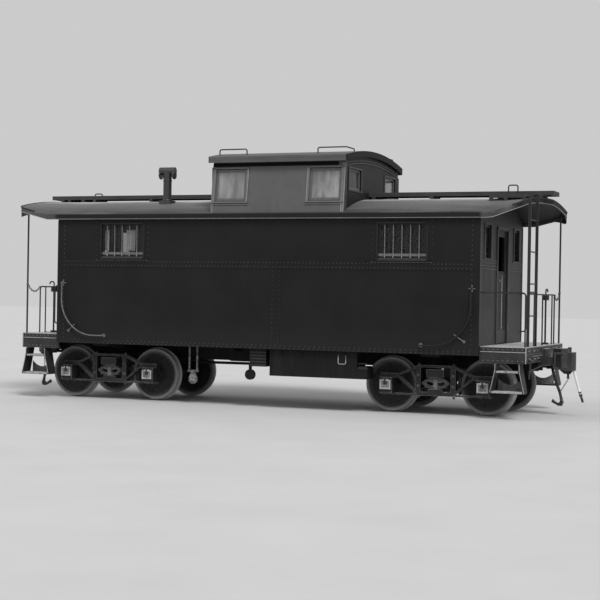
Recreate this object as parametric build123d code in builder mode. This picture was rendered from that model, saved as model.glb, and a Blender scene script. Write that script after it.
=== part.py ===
from build123d import *
import math
import os

os.makedirs("parts", exist_ok=True)

# An all-steel railway caboose with a centre cupola, open end platforms and arch-bar trucks.
# Millimetres. X runs along the track, Y across it and Z up. X = 0 is the middle of the body,
# Y = 0 the middle of the track and Z = 0 the top of the rail. The front is the +X end, the near side
# is -Y. The two ends are alike when turned half round about Z. Finished pieces are lifted by the
# height of the flanges, so that the lowest points of the wheels come to Z = 0.

# Track and wheels
FLANGE_HEIGHT = 25
TREAD_RADIUS = 457
BACK_TO_BACK = 1353
RIM_WIDTH = 140
RIM_DEPTH = 62
FLANGE_THICK = 30
PLATE_THICK = 26
TREAD_CONE = 5
HUB_RADIUS = 135
HUB_LENGTH = 178
HUB_INSET = 14
PLATE_AT_HUB = 75
PLATE_AT_RIM = 59
AXLE_RADIUS = 72
WHEEL_SEAT_RADIUS = 84
JOURNAL_RADIUS = 63.5
JOURNAL_LENGTH = 200
COLLAR_RADIUS = 75
COLLAR_LENGTH = 18
JOURNAL_CLEARANCE = 0.3
AXLE_Z = TREAD_RADIUS

# Trucks
TRUCK_X = 3098
WHEELBASE = 1676
FRAME_Y = 965
BAR_WIDTH = 120
BAR_THICK = 35
TIE_THICK = 25
BAR_END = 960
BAR_SHOULDER = 645
TOP_BAR_WAIST = 300
LOW_BAR_WAIST = 320
BAR_BEND = 60
TOP_BAR_Z = 785
BOX_TOP_Z = 580
TIE_BAR_Z = 293
COLUMN_INNER = 262
COLUMN_OUTER = 345
JOURNAL_BOX_LENGTH = 220
JOURNAL_BOX_BACK_Y = 850
JOURNAL_BOX_FRONT_Y = 1132
LID_THICK = 20
LID_SIZE = 190
BOLSTER_LENGTH = 300
BOLSTER_HALF_WIDTH = 1060
BOLSTER_END_DEPTH = 130
BOLSTER_MIDDLE_DEPTH = 230
BOLSTER_TOP_Z = 735
PLANK_THICK = 48
PLANK_LENGTH = 250
SPRING_LENGTH = 480
SPRING_WIDTH = 110
SPRING_LEAF = 40
SHOE_GAP = 6
SHOE_THICK = 48
SHOE_ANGLE = 34
BEAM_Z = 385
BRAKE_HANGER_Y = 450
CENTRE_PLATE_RADIUS = 150
CENTRE_PLATE_THICK = 20
PIVOT_GAP = 0.3

# Body shell
BODY_HALF_LENGTH = 3946
BODY_HALF_WIDTH = 1475
WALL = 70
SIDE_BOTTOM_Z = 1003
FLOOR_TOP_Z = 1157
FLOOR_THICK = 50
FLOOR_BOTTOM_Z = FLOOR_TOP_Z - FLOOR_THICK
INNER_HALF_WIDTH = BODY_HALF_WIDTH - WALL
INNER_HALF_LENGTH = BODY_HALF_LENGTH - WALL

# Side and end windows
WINDOW_X = 2620
WINDOW_WIDTH = 840
WINDOW_LOW_Z = 2560
WINDOW_HIGH_Z = 3150
END_WINDOW_Y = 990
END_WINDOW_WIDTH = 380
SASH_BAR = 42
SASH_THICK = 30
SASH_INSET = 22
GLASS_THICK = 6
LEANING_SASH_ROOM = 12
GUARD_BAR_DIAMETER = 16
GUARD_BAR_COUNT = 5
GUARD_BAR_PITCH = 149
GUARD_STAND_OFF = 14
SILL_WIDTH = 1010
SILL_DEPTH = 26
SILL_PROJECTION = 30

# End doors
DOOR_HALF_WIDTH = 352
DOOR_HIGH_Z = 3105
DOOR_THICK = 45
DOOR_GAP = 0.3
DOOR_CLEARANCE = 8
DOOR_STOP = 18
DOOR_STILE = 110
DOOR_LIGHT_LOW_Z = 2400

# Main roof
ROOF_EAVES = 70
ROOF_HALF_WIDTH = BODY_HALF_WIDTH + ROOF_EAVES
ROOF_CROWN_Z = 3640
ROOF_RISE = 315
ROOF_THICK = 45
ROOF_RIM_DEPTH = 90
ROOF_SPARE = 60
ROOF_RIM_THICK = 14
HOOD_X = 4740
HOOD_FROM_X = 4150
HOOD_RISE = 165
HOOD_LADDER_X = 4560
HOOD_STEP_FROM_Y = -700
HOOD_STEP_TO_Y = 300
HOOD_CORNER_RADIUS = 90
HOOD_LADDER_RADIUS = 560
ROOF_RADIUS = (ROOF_HALF_WIDTH ** 2 + ROOF_RISE ** 2) / (2 * ROOF_RISE)
HOOD_RADIUS = (ROOF_HALF_WIDTH ** 2 + HOOD_RISE ** 2) / (2 * HOOD_RISE)

# Cupola
CUPOLA_REAR_X = -880
CUPOLA_FRONT_X = 1585
CUPOLA_WALL = 60
CUPOLA_BULGE = 27
CUPOLA_LEAN = 108
CUPOLA_LOW_HALF_WIDTH = BODY_HALF_WIDTH + CUPOLA_BULGE
CUPOLA_HIGH_HALF_WIDTH = CUPOLA_LOW_HALF_WIDTH - CUPOLA_LEAN
CUPOLA_SLOPE_LOW_Z = 3305
CUPOLA_SLOPE_HIGH_Z = 4191
CUPOLA_EAVES = 126
CUPOLA_ROOF_HALF_WIDTH = CUPOLA_HIGH_HALF_WIDTH + CUPOLA_EAVES
CUPOLA_CROWN_Z = 4476
CUPOLA_ROOF_RISE = 165
CUPOLA_ROOF_THICK = 40
CUPOLA_ROOF_OVERHANG = 62
CUPOLA_RIM_DEPTH = 105
CUPOLA_RIM_THICK = 16
CUPOLA_CORNER_RADIUS = 60
CUPOLA_WINDOW_OFFSET = 876
CUPOLA_WINDOW_WIDTH = 580
CUPOLA_WINDOW_LOW_Z = 3545
CUPOLA_WINDOW_HIGH_Z = 4105
CUPOLA_END_WINDOW_Y = 940
CUPOLA_END_WINDOW_WIDTH = 600
CUPOLA_END_WINDOW_LOW_Z = 3745
CUPOLA_ROOF_RADIUS = (CUPOLA_ROOF_HALF_WIDTH ** 2 + CUPOLA_ROOF_RISE ** 2) / (2 * CUPOLA_ROOF_RISE)
CUPOLA_MIDDLE_X = (CUPOLA_REAR_X + CUPOLA_FRONT_X) / 2

# Roof walk and smoke jack
WALK_HALF_WIDTH = 225
WALK_TOP_Z = 3755
WALK_END_X = 4860
PLANK_COUNT = 3
WALK_PLANK_THICK = 30
WALK_PLANK_GAP = 12
STRINGER_WIDTH = 42
STRINGER_DEPTH = 42
SADDLE_LENGTH = 60
WALK_SADDLE_X = 4600
WALK_INNER_SADDLE_X = 2700
LADDER_PLANK_COUNT = 4
LADDER_WALK_X = 4215
LADDER_WALK_LENGTH = 612
LADDER_WALK_END_Y = 830
LADDER_WALK_TOP_Z = 3668
LADDER_BEAM_DEPTH = 34
LADDER_POST_SHARES = (0, 0.45, 1)
JACK_X = -2110
JACK_Y = -750
JACK_RADIUS = 76
JACK_TOP_Z = 4150
JACK_HEAD_RADIUS = 70
JACK_HEAD_LENGTH = 300
JACK_FLASHING_RADIUS = 150
JACK_FLASHING_HEIGHT = 40

# Underframe
SILL_DEPTH_CENTRE = 382
CENTRE_SILL_HALF_WIDTH = 165
SILL_WEB = 16
SIDE_SILL_WIDTH = 60
CROSS_BEARER_X = (-1950, -900, 150, 1100)
CROSS_BEARER_LENGTH = 90
BEARER_ROOT_DEPTH = 230
BEARER_TAPER_Y = 850
BOLSTER_ROOT_DEPTH = 290
BODY_BOLSTER_LENGTH = 320
BODY_BOLSTER_END_DEPTH = 150
CENTRE_SILL_BOTTOM_Z = FLOOR_BOTTOM_Z - SILL_DEPTH_CENTRE

# Platforms and steps
PLATFORM_X = 4711
PLATFORM_HALF_WIDTH = 1408
PLATFORM_DEPTH = 263
DECK_THICK = FLOOR_THICK
END_SILL_THICK = 70
SKIRT_THICK = 14
STRIKER_HALF_WIDTH = 190
STRIKER_PROJECTION = 60
STEP_INNER_X = 4222
STEP_OUTER_X = 4604
STEP_FLARE = 84
STEP_TREAD_THICK = 32
STEP_FRONT_Y = 1448
STEP_BACK_Y = 1190
UPPER_TREAD_Z = 768
LOWER_TREAD_Z = 440
STEP_PLATE = 12

# End railings, ladders, brake staffs
RAIL_X = 4655
ROD_DIAMETER = 25
POST_Y = 1362
POST_DIAMETER = 32
RAIL_TOP_Z = 2015
RAIL_TO_Y = 930
RAIL_MIDDLE_Y = -10
ROD_BEND = 50
SIDE_BAR_REACH = 100
SIDE_BAR_Y = 1395
SIDE_BAR_Z = 2032
SIDE_BAR_LOW_Z = 1350
LADDER_OUTER_Y = -1071
LADDER_INNER_Y = -528
LADDER_HOOK = 35
LADDER_ROOF_REACH = 30
STILE_WIDTH = 50
STILE_THICK = 13
RUNG_DIAMETER = 22
RUNG_LOW_Z = 1660
RUNG_PITCH = 524
RUNG_COUNT = 4
STAFF_Y = 560
STAFF_DIAMETER = 32
STAFF_TOP_Z = 2015
RATCHET_RADIUS = 58
RATCHET_HEIGHT = 95
HANDLE_RISE = 95
HANDLE_REACH = 150
HANDLE_BEND = 46

# Side handrails and roof grab irons
HANDRAIL_X = 3820
HANDRAIL_TOP_Z = 2100
HANDRAIL_SWEEP = 650
HANDRAIL_LOW_Z = 1150
HANDRAIL_END_X = 2970
HANDRAIL_DIAMETER = 24
HANDRAIL_STAND_OFF = 62
GRAB_DIAMETER = 22
GRAB_HEIGHT = 95
GRAB_INSET_X = 50
GRAB_INSET_Y = 270
GRAB_LENGTH = 520
GRAB_RETURN = 380
WALK_GRAB_Y = 420
WALK_GRAB_LENGTH = 160
WALK_GRAB_HEIGHT = 85

# Couplers
COUPLER_Z = 905
SHANK_HALF = 65
SHANK_REAR_X = 4250
COUPLER_HEAD_X = 4860
PULLING_FACE_X = 5235
COUPLER_HEAD_LOW = -105
COUPLER_HEAD_HEIGHT = 315
COUPLER_HEAD_XY = ((0, -70), (0, 90), (135, 165), (235, 185), (270, 150), (195, 60), (195, -60),
                   (275, -120), (165, -160), (95, -120))
CHIN_XZ = ((60, -105), (185, -212), (275, -220), (335, -150), (335, -105))
CHIN_HALF = 55
KNUCKLE_HEIGHT = 306
KNUCKLE_XY = ((-190, -60), (-180, -130), (-40, -125), (0, -80), (0, 20), (-55, 45), (-85, 0), (-95, -60))
CARRY_IRON_THICK = 26

# Uncoupling levers
LEVER_X = 4795
LEVER_Z = 842
LEVER_OUT_X = 4745
LEVER_OUT_Y = -1300
LEVER_OUT_Z = 775
LEVER_KNEE_Y = -600
LEVER_END_Y = -195
LEVER_DIAMETER = 24
LEVER_DROP = 130
LEVER_LUG = 30

# Equipment under the floor
BOX_REAR_X = 240
BOX_FRONT_X = 1835
BOX_NEAR_Y = -1380
BOX_FAR_Y = -960
BOX_BOTTOM_Z = 545
SMALL_BOX_LENGTH = 180
SMALL_BOX_FAR_Y = -1050
SMALL_BOX_TOP_Z = 735
VALVE_X = -165
VALVE_RADIUS = 90
VALVE_Z = 545
VALVE_INSET = 70
VALVE_THICK = 60
VALVE_NECK = 18
VALVE_ARM_Z = 745
CRATE_REAR_X = -130
CRATE_FRONT_X = 170
CRATE_BOTTOM_Z = 695
TRAP_X = -1345
TRAP_Y = -1120
TRAP_BOTTOM_Z = 337
TRAP_TOP_Z = 560
TRAP_RADIUS = 78
TRAP_NECK = 30
TRAP_BULB_HEIGHT = 110
TRAP_CHAMFER = 45
TRAP_FOOT_RADIUS = 45
TRAP_PIPE_HALF = 75
TRAP_PIPE_DIAMETER = 34
TRAP_CROSS_HALF = 98
TRAP_CROSS_DIAMETER = 42
HANGER_THICK = 16
RESERVOIR_RADIUS = 205
RESERVOIR_LENGTH = 1150
RESERVOIR_X = 500
CYLINDER_RADIUS = 150
CYLINDER_LENGTH = 460
CYLINDER_X = -1350
TANK_Y = 1000

# Brake pipe and hoses
PIPE_DIAMETER = 50
PIPE_Z = 790
PIPE_LOW_Z = 670
PIPE_END_X = 4770
PIPE_DIP_X = 2300
PIPE_LOW_X = 1600
PIPE_BEND = 120
COCK_LENGTH = 90
COCK_WIDTH = 76
NIPPLE_ANGLE = 14
NIPPLE_LENGTH = 70
HOSE_DIAMETER = 50
HOSE_Y = 300
FIRST_HOSE_RUN = 85
CANVAS_HOSE_DIAMETER = 44
CANVAS_HOSE_XZ = ((5206, 746), (5241, 613), (5278, 486), (5319, 358))
NOZZLE_DIAMETER = 56
NOZZLE_TIP_DIAMETER = 40
NOZZLE_COLLAR_LENGTH = 40
NOZZLE_LENGTH = 145
BRAKE_HOSE_XZ = ((4836, 550), (4866, 465), (4902, 380), (4929, 295), (4941, 215))
ARC_SHARE = 0.45
GLAD_WALL = 8
GLAD_NECK = 45
GLAD_THICK = 50
GLAD_XZ = ((-50, -90), (8, -90), (35, -31), (15, -8), (-20, -8), (-50, -45), (-105, -18), (-150, 22), (-172, -27))

HALF_TURN = 180
FOOT_STEPS = 6
SEAT = 0.3
HOOD_SEAT = 0.8
ENDS = (("front", 0), ("rear", HALF_TURN))


def save(piece, label):
    """Lift a finished piece onto its flanges, name it and write it out."""
    lifted = Pos(0, 0, FLANGE_HEIGHT) * piece.part
    lifted.label = label
    export_step(lifted, f"parts/{label}.step")


def save_pair(piece, label):
    """Write out one piece and its twin at the other end as one sub-part."""
    with BuildPart() as pair:
        for _, turn in ENDS:
            add(piece.part, rotation=(0, 0, turn))
    save(pair, label)


def block(x_span, y_span, z_span, mode=Mode.ADD):
    """A plain bar between two corners, for the part that is being built."""
    middle = [(low + high) / 2 for low, high in (x_span, y_span, z_span)]
    size = [high - low for low, high in (x_span, y_span, z_span)]
    with Locations(tuple(middle)):
        Box(*size, mode=mode)


def rod(points, diameter, bend=0.0):
    """A round bar along straight runs, with bends of one radius."""
    with BuildLine() as path:
        if bend > 0 and len(points) > 2:
            FilletPolyline(*points, radius=bend)
        else:
            Polyline(*points)
    with BuildSketch(Plane(origin=path.line @ 0, z_dir=path.line % 0)) as section:
        Circle(diameter / 2)
    sweep(section.sketch, path=path.line)


def side_view(x, y):
    """A sketch plane seen from the near side: local x along X, local y along Z."""
    return Plane(origin=(x, y, 0), x_dir=(1, 0, 0), z_dir=(0, -1, 0))


def end_view(x):
    """A sketch plane across the car: local x along Y, local y along Z."""
    return Plane(origin=(x, 0, 0), x_dir=(0, 1, 0), z_dir=(1, 0, 0))


def arch_z(y, crown, radius):
    """Height of a round roof line at the distance y from the middle."""
    return crown - radius + math.sqrt(radius ** 2 - y ** 2)


def roof_z(y):
    return arch_z(y, ROOF_CROWN_Z, ROOF_RADIUS)


def hood_z(x, y):
    """Height of the roof over a platform, where it runs out flatter towards the end."""
    share = max(0, (abs(x) - HOOD_FROM_X) / (HOOD_X - HOOD_FROM_X))
    return roof_z(y) + share * (arch_z(y, ROOF_CROWN_Z, HOOD_RADIUS) - roof_z(y))


def ceiling_z(y):
    return arch_z(y, ROOF_CROWN_Z - ROOF_THICK, ROOF_RADIUS - ROOF_THICK)


def cupola_ceiling_z(y):
    return arch_z(y, CUPOLA_CROWN_Z - CUPOLA_ROOF_THICK, CUPOLA_ROOF_RADIUS - CUPOLA_ROOF_THICK)


def cupola_half_width(z):
    """Outside half width of the cupola's leaning sides at the height z."""
    lean = (CUPOLA_LOW_HALF_WIDTH - CUPOLA_HIGH_HALF_WIDTH) / (CUPOLA_SLOPE_HIGH_Z - CUPOLA_SLOPE_LOW_Z)
    return CUPOLA_LOW_HALF_WIDTH - lean * (z - CUPOLA_SLOPE_LOW_Z)


def cupola_inner_foot():
    """Where the cupola's inner side face meets the top of the main roof."""
    y = CUPOLA_LOW_HALF_WIDTH - CUPOLA_WALL
    for _ in range(FOOT_STEPS):
        y = cupola_half_width(roof_z(y)) - CUPOLA_WALL
    return y


def cupola_top():
    """Half width and height where the cupola's outer side face meets its own roof."""
    y = CUPOLA_HIGH_HALF_WIDTH
    for _ in range(FOOT_STEPS):
        y = cupola_half_width(cupola_ceiling_z(y))
    return y, cupola_ceiling_z(y)


def arch_band(half_width, z_at, thick):
    """The cross-section of a round roof, thick bars deep, in the sketch that is being built."""
    low = -thick
    with BuildLine() as edge:
        ThreePointArc((-half_width, z_at(half_width)), (0, z_at(0)), (half_width, z_at(half_width)))
        Line((half_width, z_at(half_width)), (half_width, z_at(half_width) + low))
        ThreePointArc(
            (half_width, z_at(half_width) + low), (0, z_at(0) + low), (-half_width, z_at(half_width) + low)
        )
        Line((-half_width, z_at(half_width) + low), (-half_width, z_at(half_width)))
    make_face(edge.edges())


def underframe():
    """The main beams under the floor, each its own piece."""
    sill_top = FLOOR_BOTTOM_Z
    with BuildPart() as centre_sill:
        with BuildSketch(end_view(0)):
            with Locations((0, (CENTRE_SILL_BOTTOM_Z + sill_top) / 2)):
                Rectangle(2 * CENTRE_SILL_HALF_WIDTH, SILL_DEPTH_CENTRE)
            with Locations((0, CENTRE_SILL_BOTTOM_Z + (SILL_DEPTH_CENTRE - SILL_WEB) / 2)):
                Rectangle(2 * (CENTRE_SILL_HALF_WIDTH - SILL_WEB), SILL_DEPTH_CENTRE - SILL_WEB, mode=Mode.SUBTRACT)
        extrude(amount=PLATFORM_X - END_SILL_THICK, both=True)
        for end in (-1, 1):
            with BuildSketch(Plane.XY.offset(CENTRE_SILL_BOTTOM_Z)):
                with Locations((end * TRUCK_X, 0)):
                    Rectangle(BODY_BOLSTER_LENGTH, 2 * CENTRE_SILL_HALF_WIDTH)
            extrude(amount=-SILL_WEB)
            with BuildSketch(Plane.XY.offset(CENTRE_SILL_BOTTOM_Z - SILL_WEB)):
                with Locations((end * TRUCK_X, 0)):
                    Circle(CENTRE_PLATE_RADIUS)
            extrude(amount=-CENTRE_PLATE_THICK)
    save(centre_sill, "centre_sill")

    with BuildPart() as side_sills:
        for side in (-1, 1):
            with BuildSketch(end_view(0)):
                with Locations((side * (INNER_HALF_WIDTH - SIDE_SILL_WIDTH / 2), (SIDE_BOTTOM_Z + sill_top) / 2)):
                    Rectangle(SIDE_SILL_WIDTH, sill_top - SIDE_BOTTOM_Z)
                with Locations((side * (INNER_HALF_WIDTH - SIDE_SILL_WIDTH + (SIDE_SILL_WIDTH - SILL_WEB) / 2),
                                (SIDE_BOTTOM_Z + sill_top) / 2)):
                    Rectangle(SIDE_SILL_WIDTH - SILL_WEB, sill_top - SIDE_BOTTOM_Z - 2 * SILL_WEB,
                              mode=Mode.SUBTRACT)
            extrude(amount=BODY_HALF_LENGTH, both=True)
    save(side_sills, "side_sills")

    inner = INNER_HALF_WIDTH - SIDE_SILL_WIDTH
    with BuildPart() as cross_bearers:
        for x, length, root_depth, tip_depth in (
            [(x, CROSS_BEARER_LENGTH, BEARER_ROOT_DEPTH, sill_top - SIDE_BOTTOM_Z) for x in CROSS_BEARER_X]
            + [(end * TRUCK_X, BODY_BOLSTER_LENGTH, BOLSTER_ROOT_DEPTH, BODY_BOLSTER_END_DEPTH)
               for end in (-1, 1)]
        ):
            for side in (-1, 1):
                with BuildSketch(end_view(x - length / 2)):
                    with BuildLine():
                        Polyline(
                            (side * CENTRE_SILL_HALF_WIDTH, sill_top),
                            (side * inner, sill_top),
                            (side * inner, sill_top - tip_depth),
                            (side * BEARER_TAPER_Y, sill_top - tip_depth),
                            (side * CENTRE_SILL_HALF_WIDTH, sill_top - root_depth),
                            close=True,
                        )
                    make_face()
                extrude(amount=length)
    save(cross_bearers, "cross_bearers")


def floor():
    with BuildPart() as cabin_floor:
        block((-INNER_HALF_LENGTH, INNER_HALF_LENGTH), (-INNER_HALF_WIDTH, INNER_HALF_WIDTH),
              (FLOOR_BOTTOM_Z, FLOOR_TOP_Z))
    save(cabin_floor, "cabin_floor")


def side_walls():
    """The two side walls, each as thick as the whole wall, with its two window openings."""
    window_z = (WINDOW_LOW_Z + WINDOW_HIGH_Z) / 2
    window_height = WINDOW_HIGH_Z - WINDOW_LOW_Z
    for label, side in (("side_wall_near", -1), ("side_wall_far", 1)):
        with BuildPart() as wall:
            with BuildSketch(end_view(0)):
                with BuildLine():
                    Polyline(
                        (side * INNER_HALF_WIDTH, SIDE_BOTTOM_Z),
                        (side * BODY_HALF_WIDTH, SIDE_BOTTOM_Z),
                        (side * BODY_HALF_WIDTH, ceiling_z(BODY_HALF_WIDTH)),
                        (side * INNER_HALF_WIDTH, ceiling_z(INNER_HALF_WIDTH)),
                        close=True,
                    )
                make_face()
            extrude(amount=BODY_HALF_LENGTH, both=True)
            with BuildSketch(side_view(0, 0)):
                with Locations((-WINDOW_X, window_z), (WINDOW_X, window_z)):
                    Rectangle(WINDOW_WIDTH, window_height)
            extrude(amount=-side * 2 * BODY_HALF_WIDTH, mode=Mode.SUBTRACT)
            for x in (-WINDOW_X, WINDOW_X):
                sill = sorted((side * BODY_HALF_WIDTH, side * (BODY_HALF_WIDTH + SILL_PROJECTION)))
                block((x - SILL_WIDTH / 2, x + SILL_WIDTH / 2), sill,
                      (WINDOW_LOW_Z - 2 * SILL_DEPTH, WINDOW_LOW_Z - SILL_DEPTH))
        save(wall, label)


def end_walls():
    """The arched end walls between the sides, with a doorway and two tall windows."""
    window_z = (WINDOW_LOW_Z + WINDOW_HIGH_Z) / 2
    window_height = WINDOW_HIGH_Z - WINDOW_LOW_Z
    with BuildPart() as wall:
        with BuildSketch(end_view(INNER_HALF_LENGTH)):
            with BuildLine():
                Polyline(
                    (-INNER_HALF_WIDTH, ceiling_z(INNER_HALF_WIDTH)),
                    (-INNER_HALF_WIDTH, FLOOR_BOTTOM_Z),
                    (INNER_HALF_WIDTH, FLOOR_BOTTOM_Z),
                    (INNER_HALF_WIDTH, ceiling_z(INNER_HALF_WIDTH)),
                )
                ThreePointArc(
                    (INNER_HALF_WIDTH, ceiling_z(INNER_HALF_WIDTH)),
                    (0, ceiling_z(0)),
                    (-INNER_HALF_WIDTH, ceiling_z(INNER_HALF_WIDTH)),
                )
            make_face()
            with Locations((-END_WINDOW_Y, window_z), (END_WINDOW_Y, window_z)):
                Rectangle(END_WINDOW_WIDTH, window_height, mode=Mode.SUBTRACT)
        extrude(amount=WALL)
        block((INNER_HALF_LENGTH, INNER_HALF_LENGTH + DOOR_THICK),
              (-DOOR_HALF_WIDTH, DOOR_HALF_WIDTH), (FLOOR_TOP_Z, DOOR_HIGH_Z), mode=Mode.SUBTRACT)
        block((INNER_HALF_LENGTH, BODY_HALF_LENGTH),
              (-DOOR_HALF_WIDTH + DOOR_STOP, DOOR_HALF_WIDTH - DOOR_STOP),
              (FLOOR_TOP_Z, DOOR_HIGH_Z - DOOR_STOP), mode=Mode.SUBTRACT)
    for end, turn in ENDS:
        with BuildPart() as turned:
            add(wall.part, rotation=(0, 0, turn))
        save(turned, f"end_wall_{end}")


def end_doors():
    """The end doors: a leaf with a window opening, hung at the rebate's corner, opening inwards."""
    light_high = DOOR_HIGH_Z - DOOR_STILE - DOOR_CLEARANCE
    with BuildPart() as leaf:
        block((INNER_HALF_LENGTH, INNER_HALF_LENGTH + DOOR_THICK - DOOR_GAP),
              (-DOOR_HALF_WIDTH + DOOR_GAP, DOOR_HALF_WIDTH - DOOR_CLEARANCE),
              (FLOOR_TOP_Z + DOOR_CLEARANCE, DOOR_HIGH_Z - DOOR_CLEARANCE))
        block((INNER_HALF_LENGTH, INNER_HALF_LENGTH + DOOR_THICK),
              (-DOOR_HALF_WIDTH + DOOR_STILE, DOOR_HALF_WIDTH - DOOR_STILE),
              (DOOR_LIGHT_LOW_Z, light_high), mode=Mode.SUBTRACT)
    for end, turn in ENDS:
        with BuildPart() as turned:
            add(leaf.part, rotation=(0, 0, turn))
        save(turned, f"door_{end}")


def window_places():
    """Every window as a plane on the wall's outer face, its width and its height."""
    places = []
    low_z, high_z = WINDOW_LOW_Z, WINDOW_HIGH_Z
    for side in (-1, 1):
        for x in (-WINDOW_X, WINDOW_X):
            face = Plane(origin=(x, side * BODY_HALF_WIDTH, (low_z + high_z) / 2),
                         x_dir=(1, 0, 0), z_dir=(0, side, 0))
            places.append((face, WINDOW_WIDTH, high_z - low_z))
    for end in (-1, 1):
        for y in (-END_WINDOW_Y, END_WINDOW_Y):
            face = Plane(origin=(end * BODY_HALF_LENGTH, y, (low_z + high_z) / 2),
                         x_dir=(0, 1, 0), z_dir=(end, 0, 0))
            places.append((face, END_WINDOW_WIDTH, high_z - low_z))
    low_z, high_z = CUPOLA_WINDOW_LOW_Z, CUPOLA_WINDOW_HIGH_Z
    middle_z = (low_z + high_z) / 2
    lean = math.atan2(CUPOLA_LOW_HALF_WIDTH - CUPOLA_HIGH_HALF_WIDTH, CUPOLA_SLOPE_HIGH_Z - CUPOLA_SLOPE_LOW_Z)
    for side in (-1, 1):
        for step in (-1, 1):
            face = Plane(
                origin=(CUPOLA_MIDDLE_X + step * CUPOLA_WINDOW_OFFSET, side * cupola_half_width(middle_z), middle_z),
                x_dir=(1, 0, 0), z_dir=(0, side * math.cos(lean), math.sin(lean)),
            )
            places.append((face, CUPOLA_WINDOW_WIDTH, high_z - low_z - LEANING_SASH_ROOM))
    low_z = CUPOLA_END_WINDOW_LOW_Z
    for x, end in ((CUPOLA_REAR_X, -1), (CUPOLA_FRONT_X, 1)):
        for y in (-CUPOLA_END_WINDOW_Y, CUPOLA_END_WINDOW_Y):
            face = Plane(origin=(x, y, (low_z + high_z) / 2), x_dir=(0, 1, 0), z_dir=(end, 0, 0))
            places.append((face, CUPOLA_END_WINDOW_WIDTH, high_z - low_z))
    return places


def windows():
    """Sashes and panes of all windows, and the guard bars of the side windows."""
    pane_inset = SASH_INSET + (SASH_THICK - GLASS_THICK) / 2
    with BuildPart() as sashes:
        for face, width, height in window_places():
            with BuildSketch(face.offset(-SASH_INSET)):
                Rectangle(width, height)
                Rectangle(width - 2 * SASH_BAR, height - 2 * SASH_BAR, mode=Mode.SUBTRACT)
            extrude(amount=-SASH_THICK)
    save(sashes, "window_sashes")
    with BuildPart() as panes:
        for face, width, height in window_places():
            with BuildSketch(face.offset(-pane_inset)):
                Rectangle(width - 2 * SASH_BAR, height - 2 * SASH_BAR)
            extrude(amount=-GLASS_THICK)
    save(panes, "window_panes")

    bar_y = BODY_HALF_WIDTH + GUARD_STAND_OFF
    with BuildPart() as guards:
        for side in (-1, 1):
            for x in (-WINDOW_X, WINDOW_X):
                bars = [(x + (i - (GUARD_BAR_COUNT - 1) / 2) * GUARD_BAR_PITCH, side * bar_y)
                        for i in range(GUARD_BAR_COUNT)]
                with BuildSketch(Plane.XY.offset(WINDOW_LOW_Z - SILL_DEPTH / 2)):
                    with Locations(*bars):
                        Circle(GUARD_BAR_DIAMETER / 2)
                extrude(amount=WINDOW_HIGH_Z - WINDOW_LOW_Z + SILL_DEPTH)
                strip = sorted((side * BODY_HALF_WIDTH, side * (bar_y + GUARD_BAR_DIAMETER / 2)))
                for z in (WINDOW_LOW_Z - SILL_DEPTH, WINDOW_HIGH_Z):
                    block((x - WINDOW_WIDTH / 2, x + WINDOW_WIDTH / 2), strip, (z, z + SILL_DEPTH))
    save(guards, "window_guards")


def roof_outline():
    """The roof's outline in plan, cut back at each ladder corner, for the sketch being built."""
    with BuildLine() as outline:
        front = [
            (HOOD_LADDER_X, HOOD_STEP_FROM_Y),
            (HOOD_X, HOOD_STEP_TO_Y),
            (HOOD_X, ROOF_HALF_WIDTH - HOOD_CORNER_RADIUS),
        ]
        ladder_start = (HOOD_LADDER_X - HOOD_LADDER_RADIUS, -ROOF_HALF_WIDTH)
        corner_end = (HOOD_X - HOOD_CORNER_RADIUS, ROOF_HALF_WIDTH)
        for turn in (1, -1):
            Line((turn * -corner_end[0], turn * -corner_end[1]), (turn * ladder_start[0], turn * ladder_start[1]))
            RadiusArc(
                (turn * ladder_start[0], turn * ladder_start[1]),
                (turn * HOOD_LADDER_X, turn * (-ROOF_HALF_WIDTH + HOOD_LADDER_RADIUS)),
                -HOOD_LADDER_RADIUS,
            )
            Line((turn * HOOD_LADDER_X, turn * (-ROOF_HALF_WIDTH + HOOD_LADDER_RADIUS)),
                 (turn * front[0][0], turn * front[0][1]))
            Line((turn * front[0][0], turn * front[0][1]), (turn * front[1][0], turn * front[1][1]))
            Line((turn * front[1][0], turn * front[1][1]), (turn * front[2][0], turn * front[2][1]))
            RadiusArc((turn * front[2][0], turn * front[2][1]),
                      (turn * corner_end[0], turn * corner_end[1]), -HOOD_CORNER_RADIUS)
    make_face(outline.edges())


def roof_shell(drop, thick):
    """The roof's arch from end to end, drop below its top and thick bars deep, in the part being built."""
    sections = []
    for x in (-HOOD_X - ROOF_SPARE, -HOOD_FROM_X, HOOD_FROM_X, HOOD_X + ROOF_SPARE):
        with BuildSketch(end_view(x)) as section:
            arch_band(ROOF_HALF_WIDTH + ROOF_SPARE, lambda y, x=x: hood_z(x, y) - drop, thick)
        sections.append(section.sketch)
    loft(sections, ruled=True)


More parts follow.
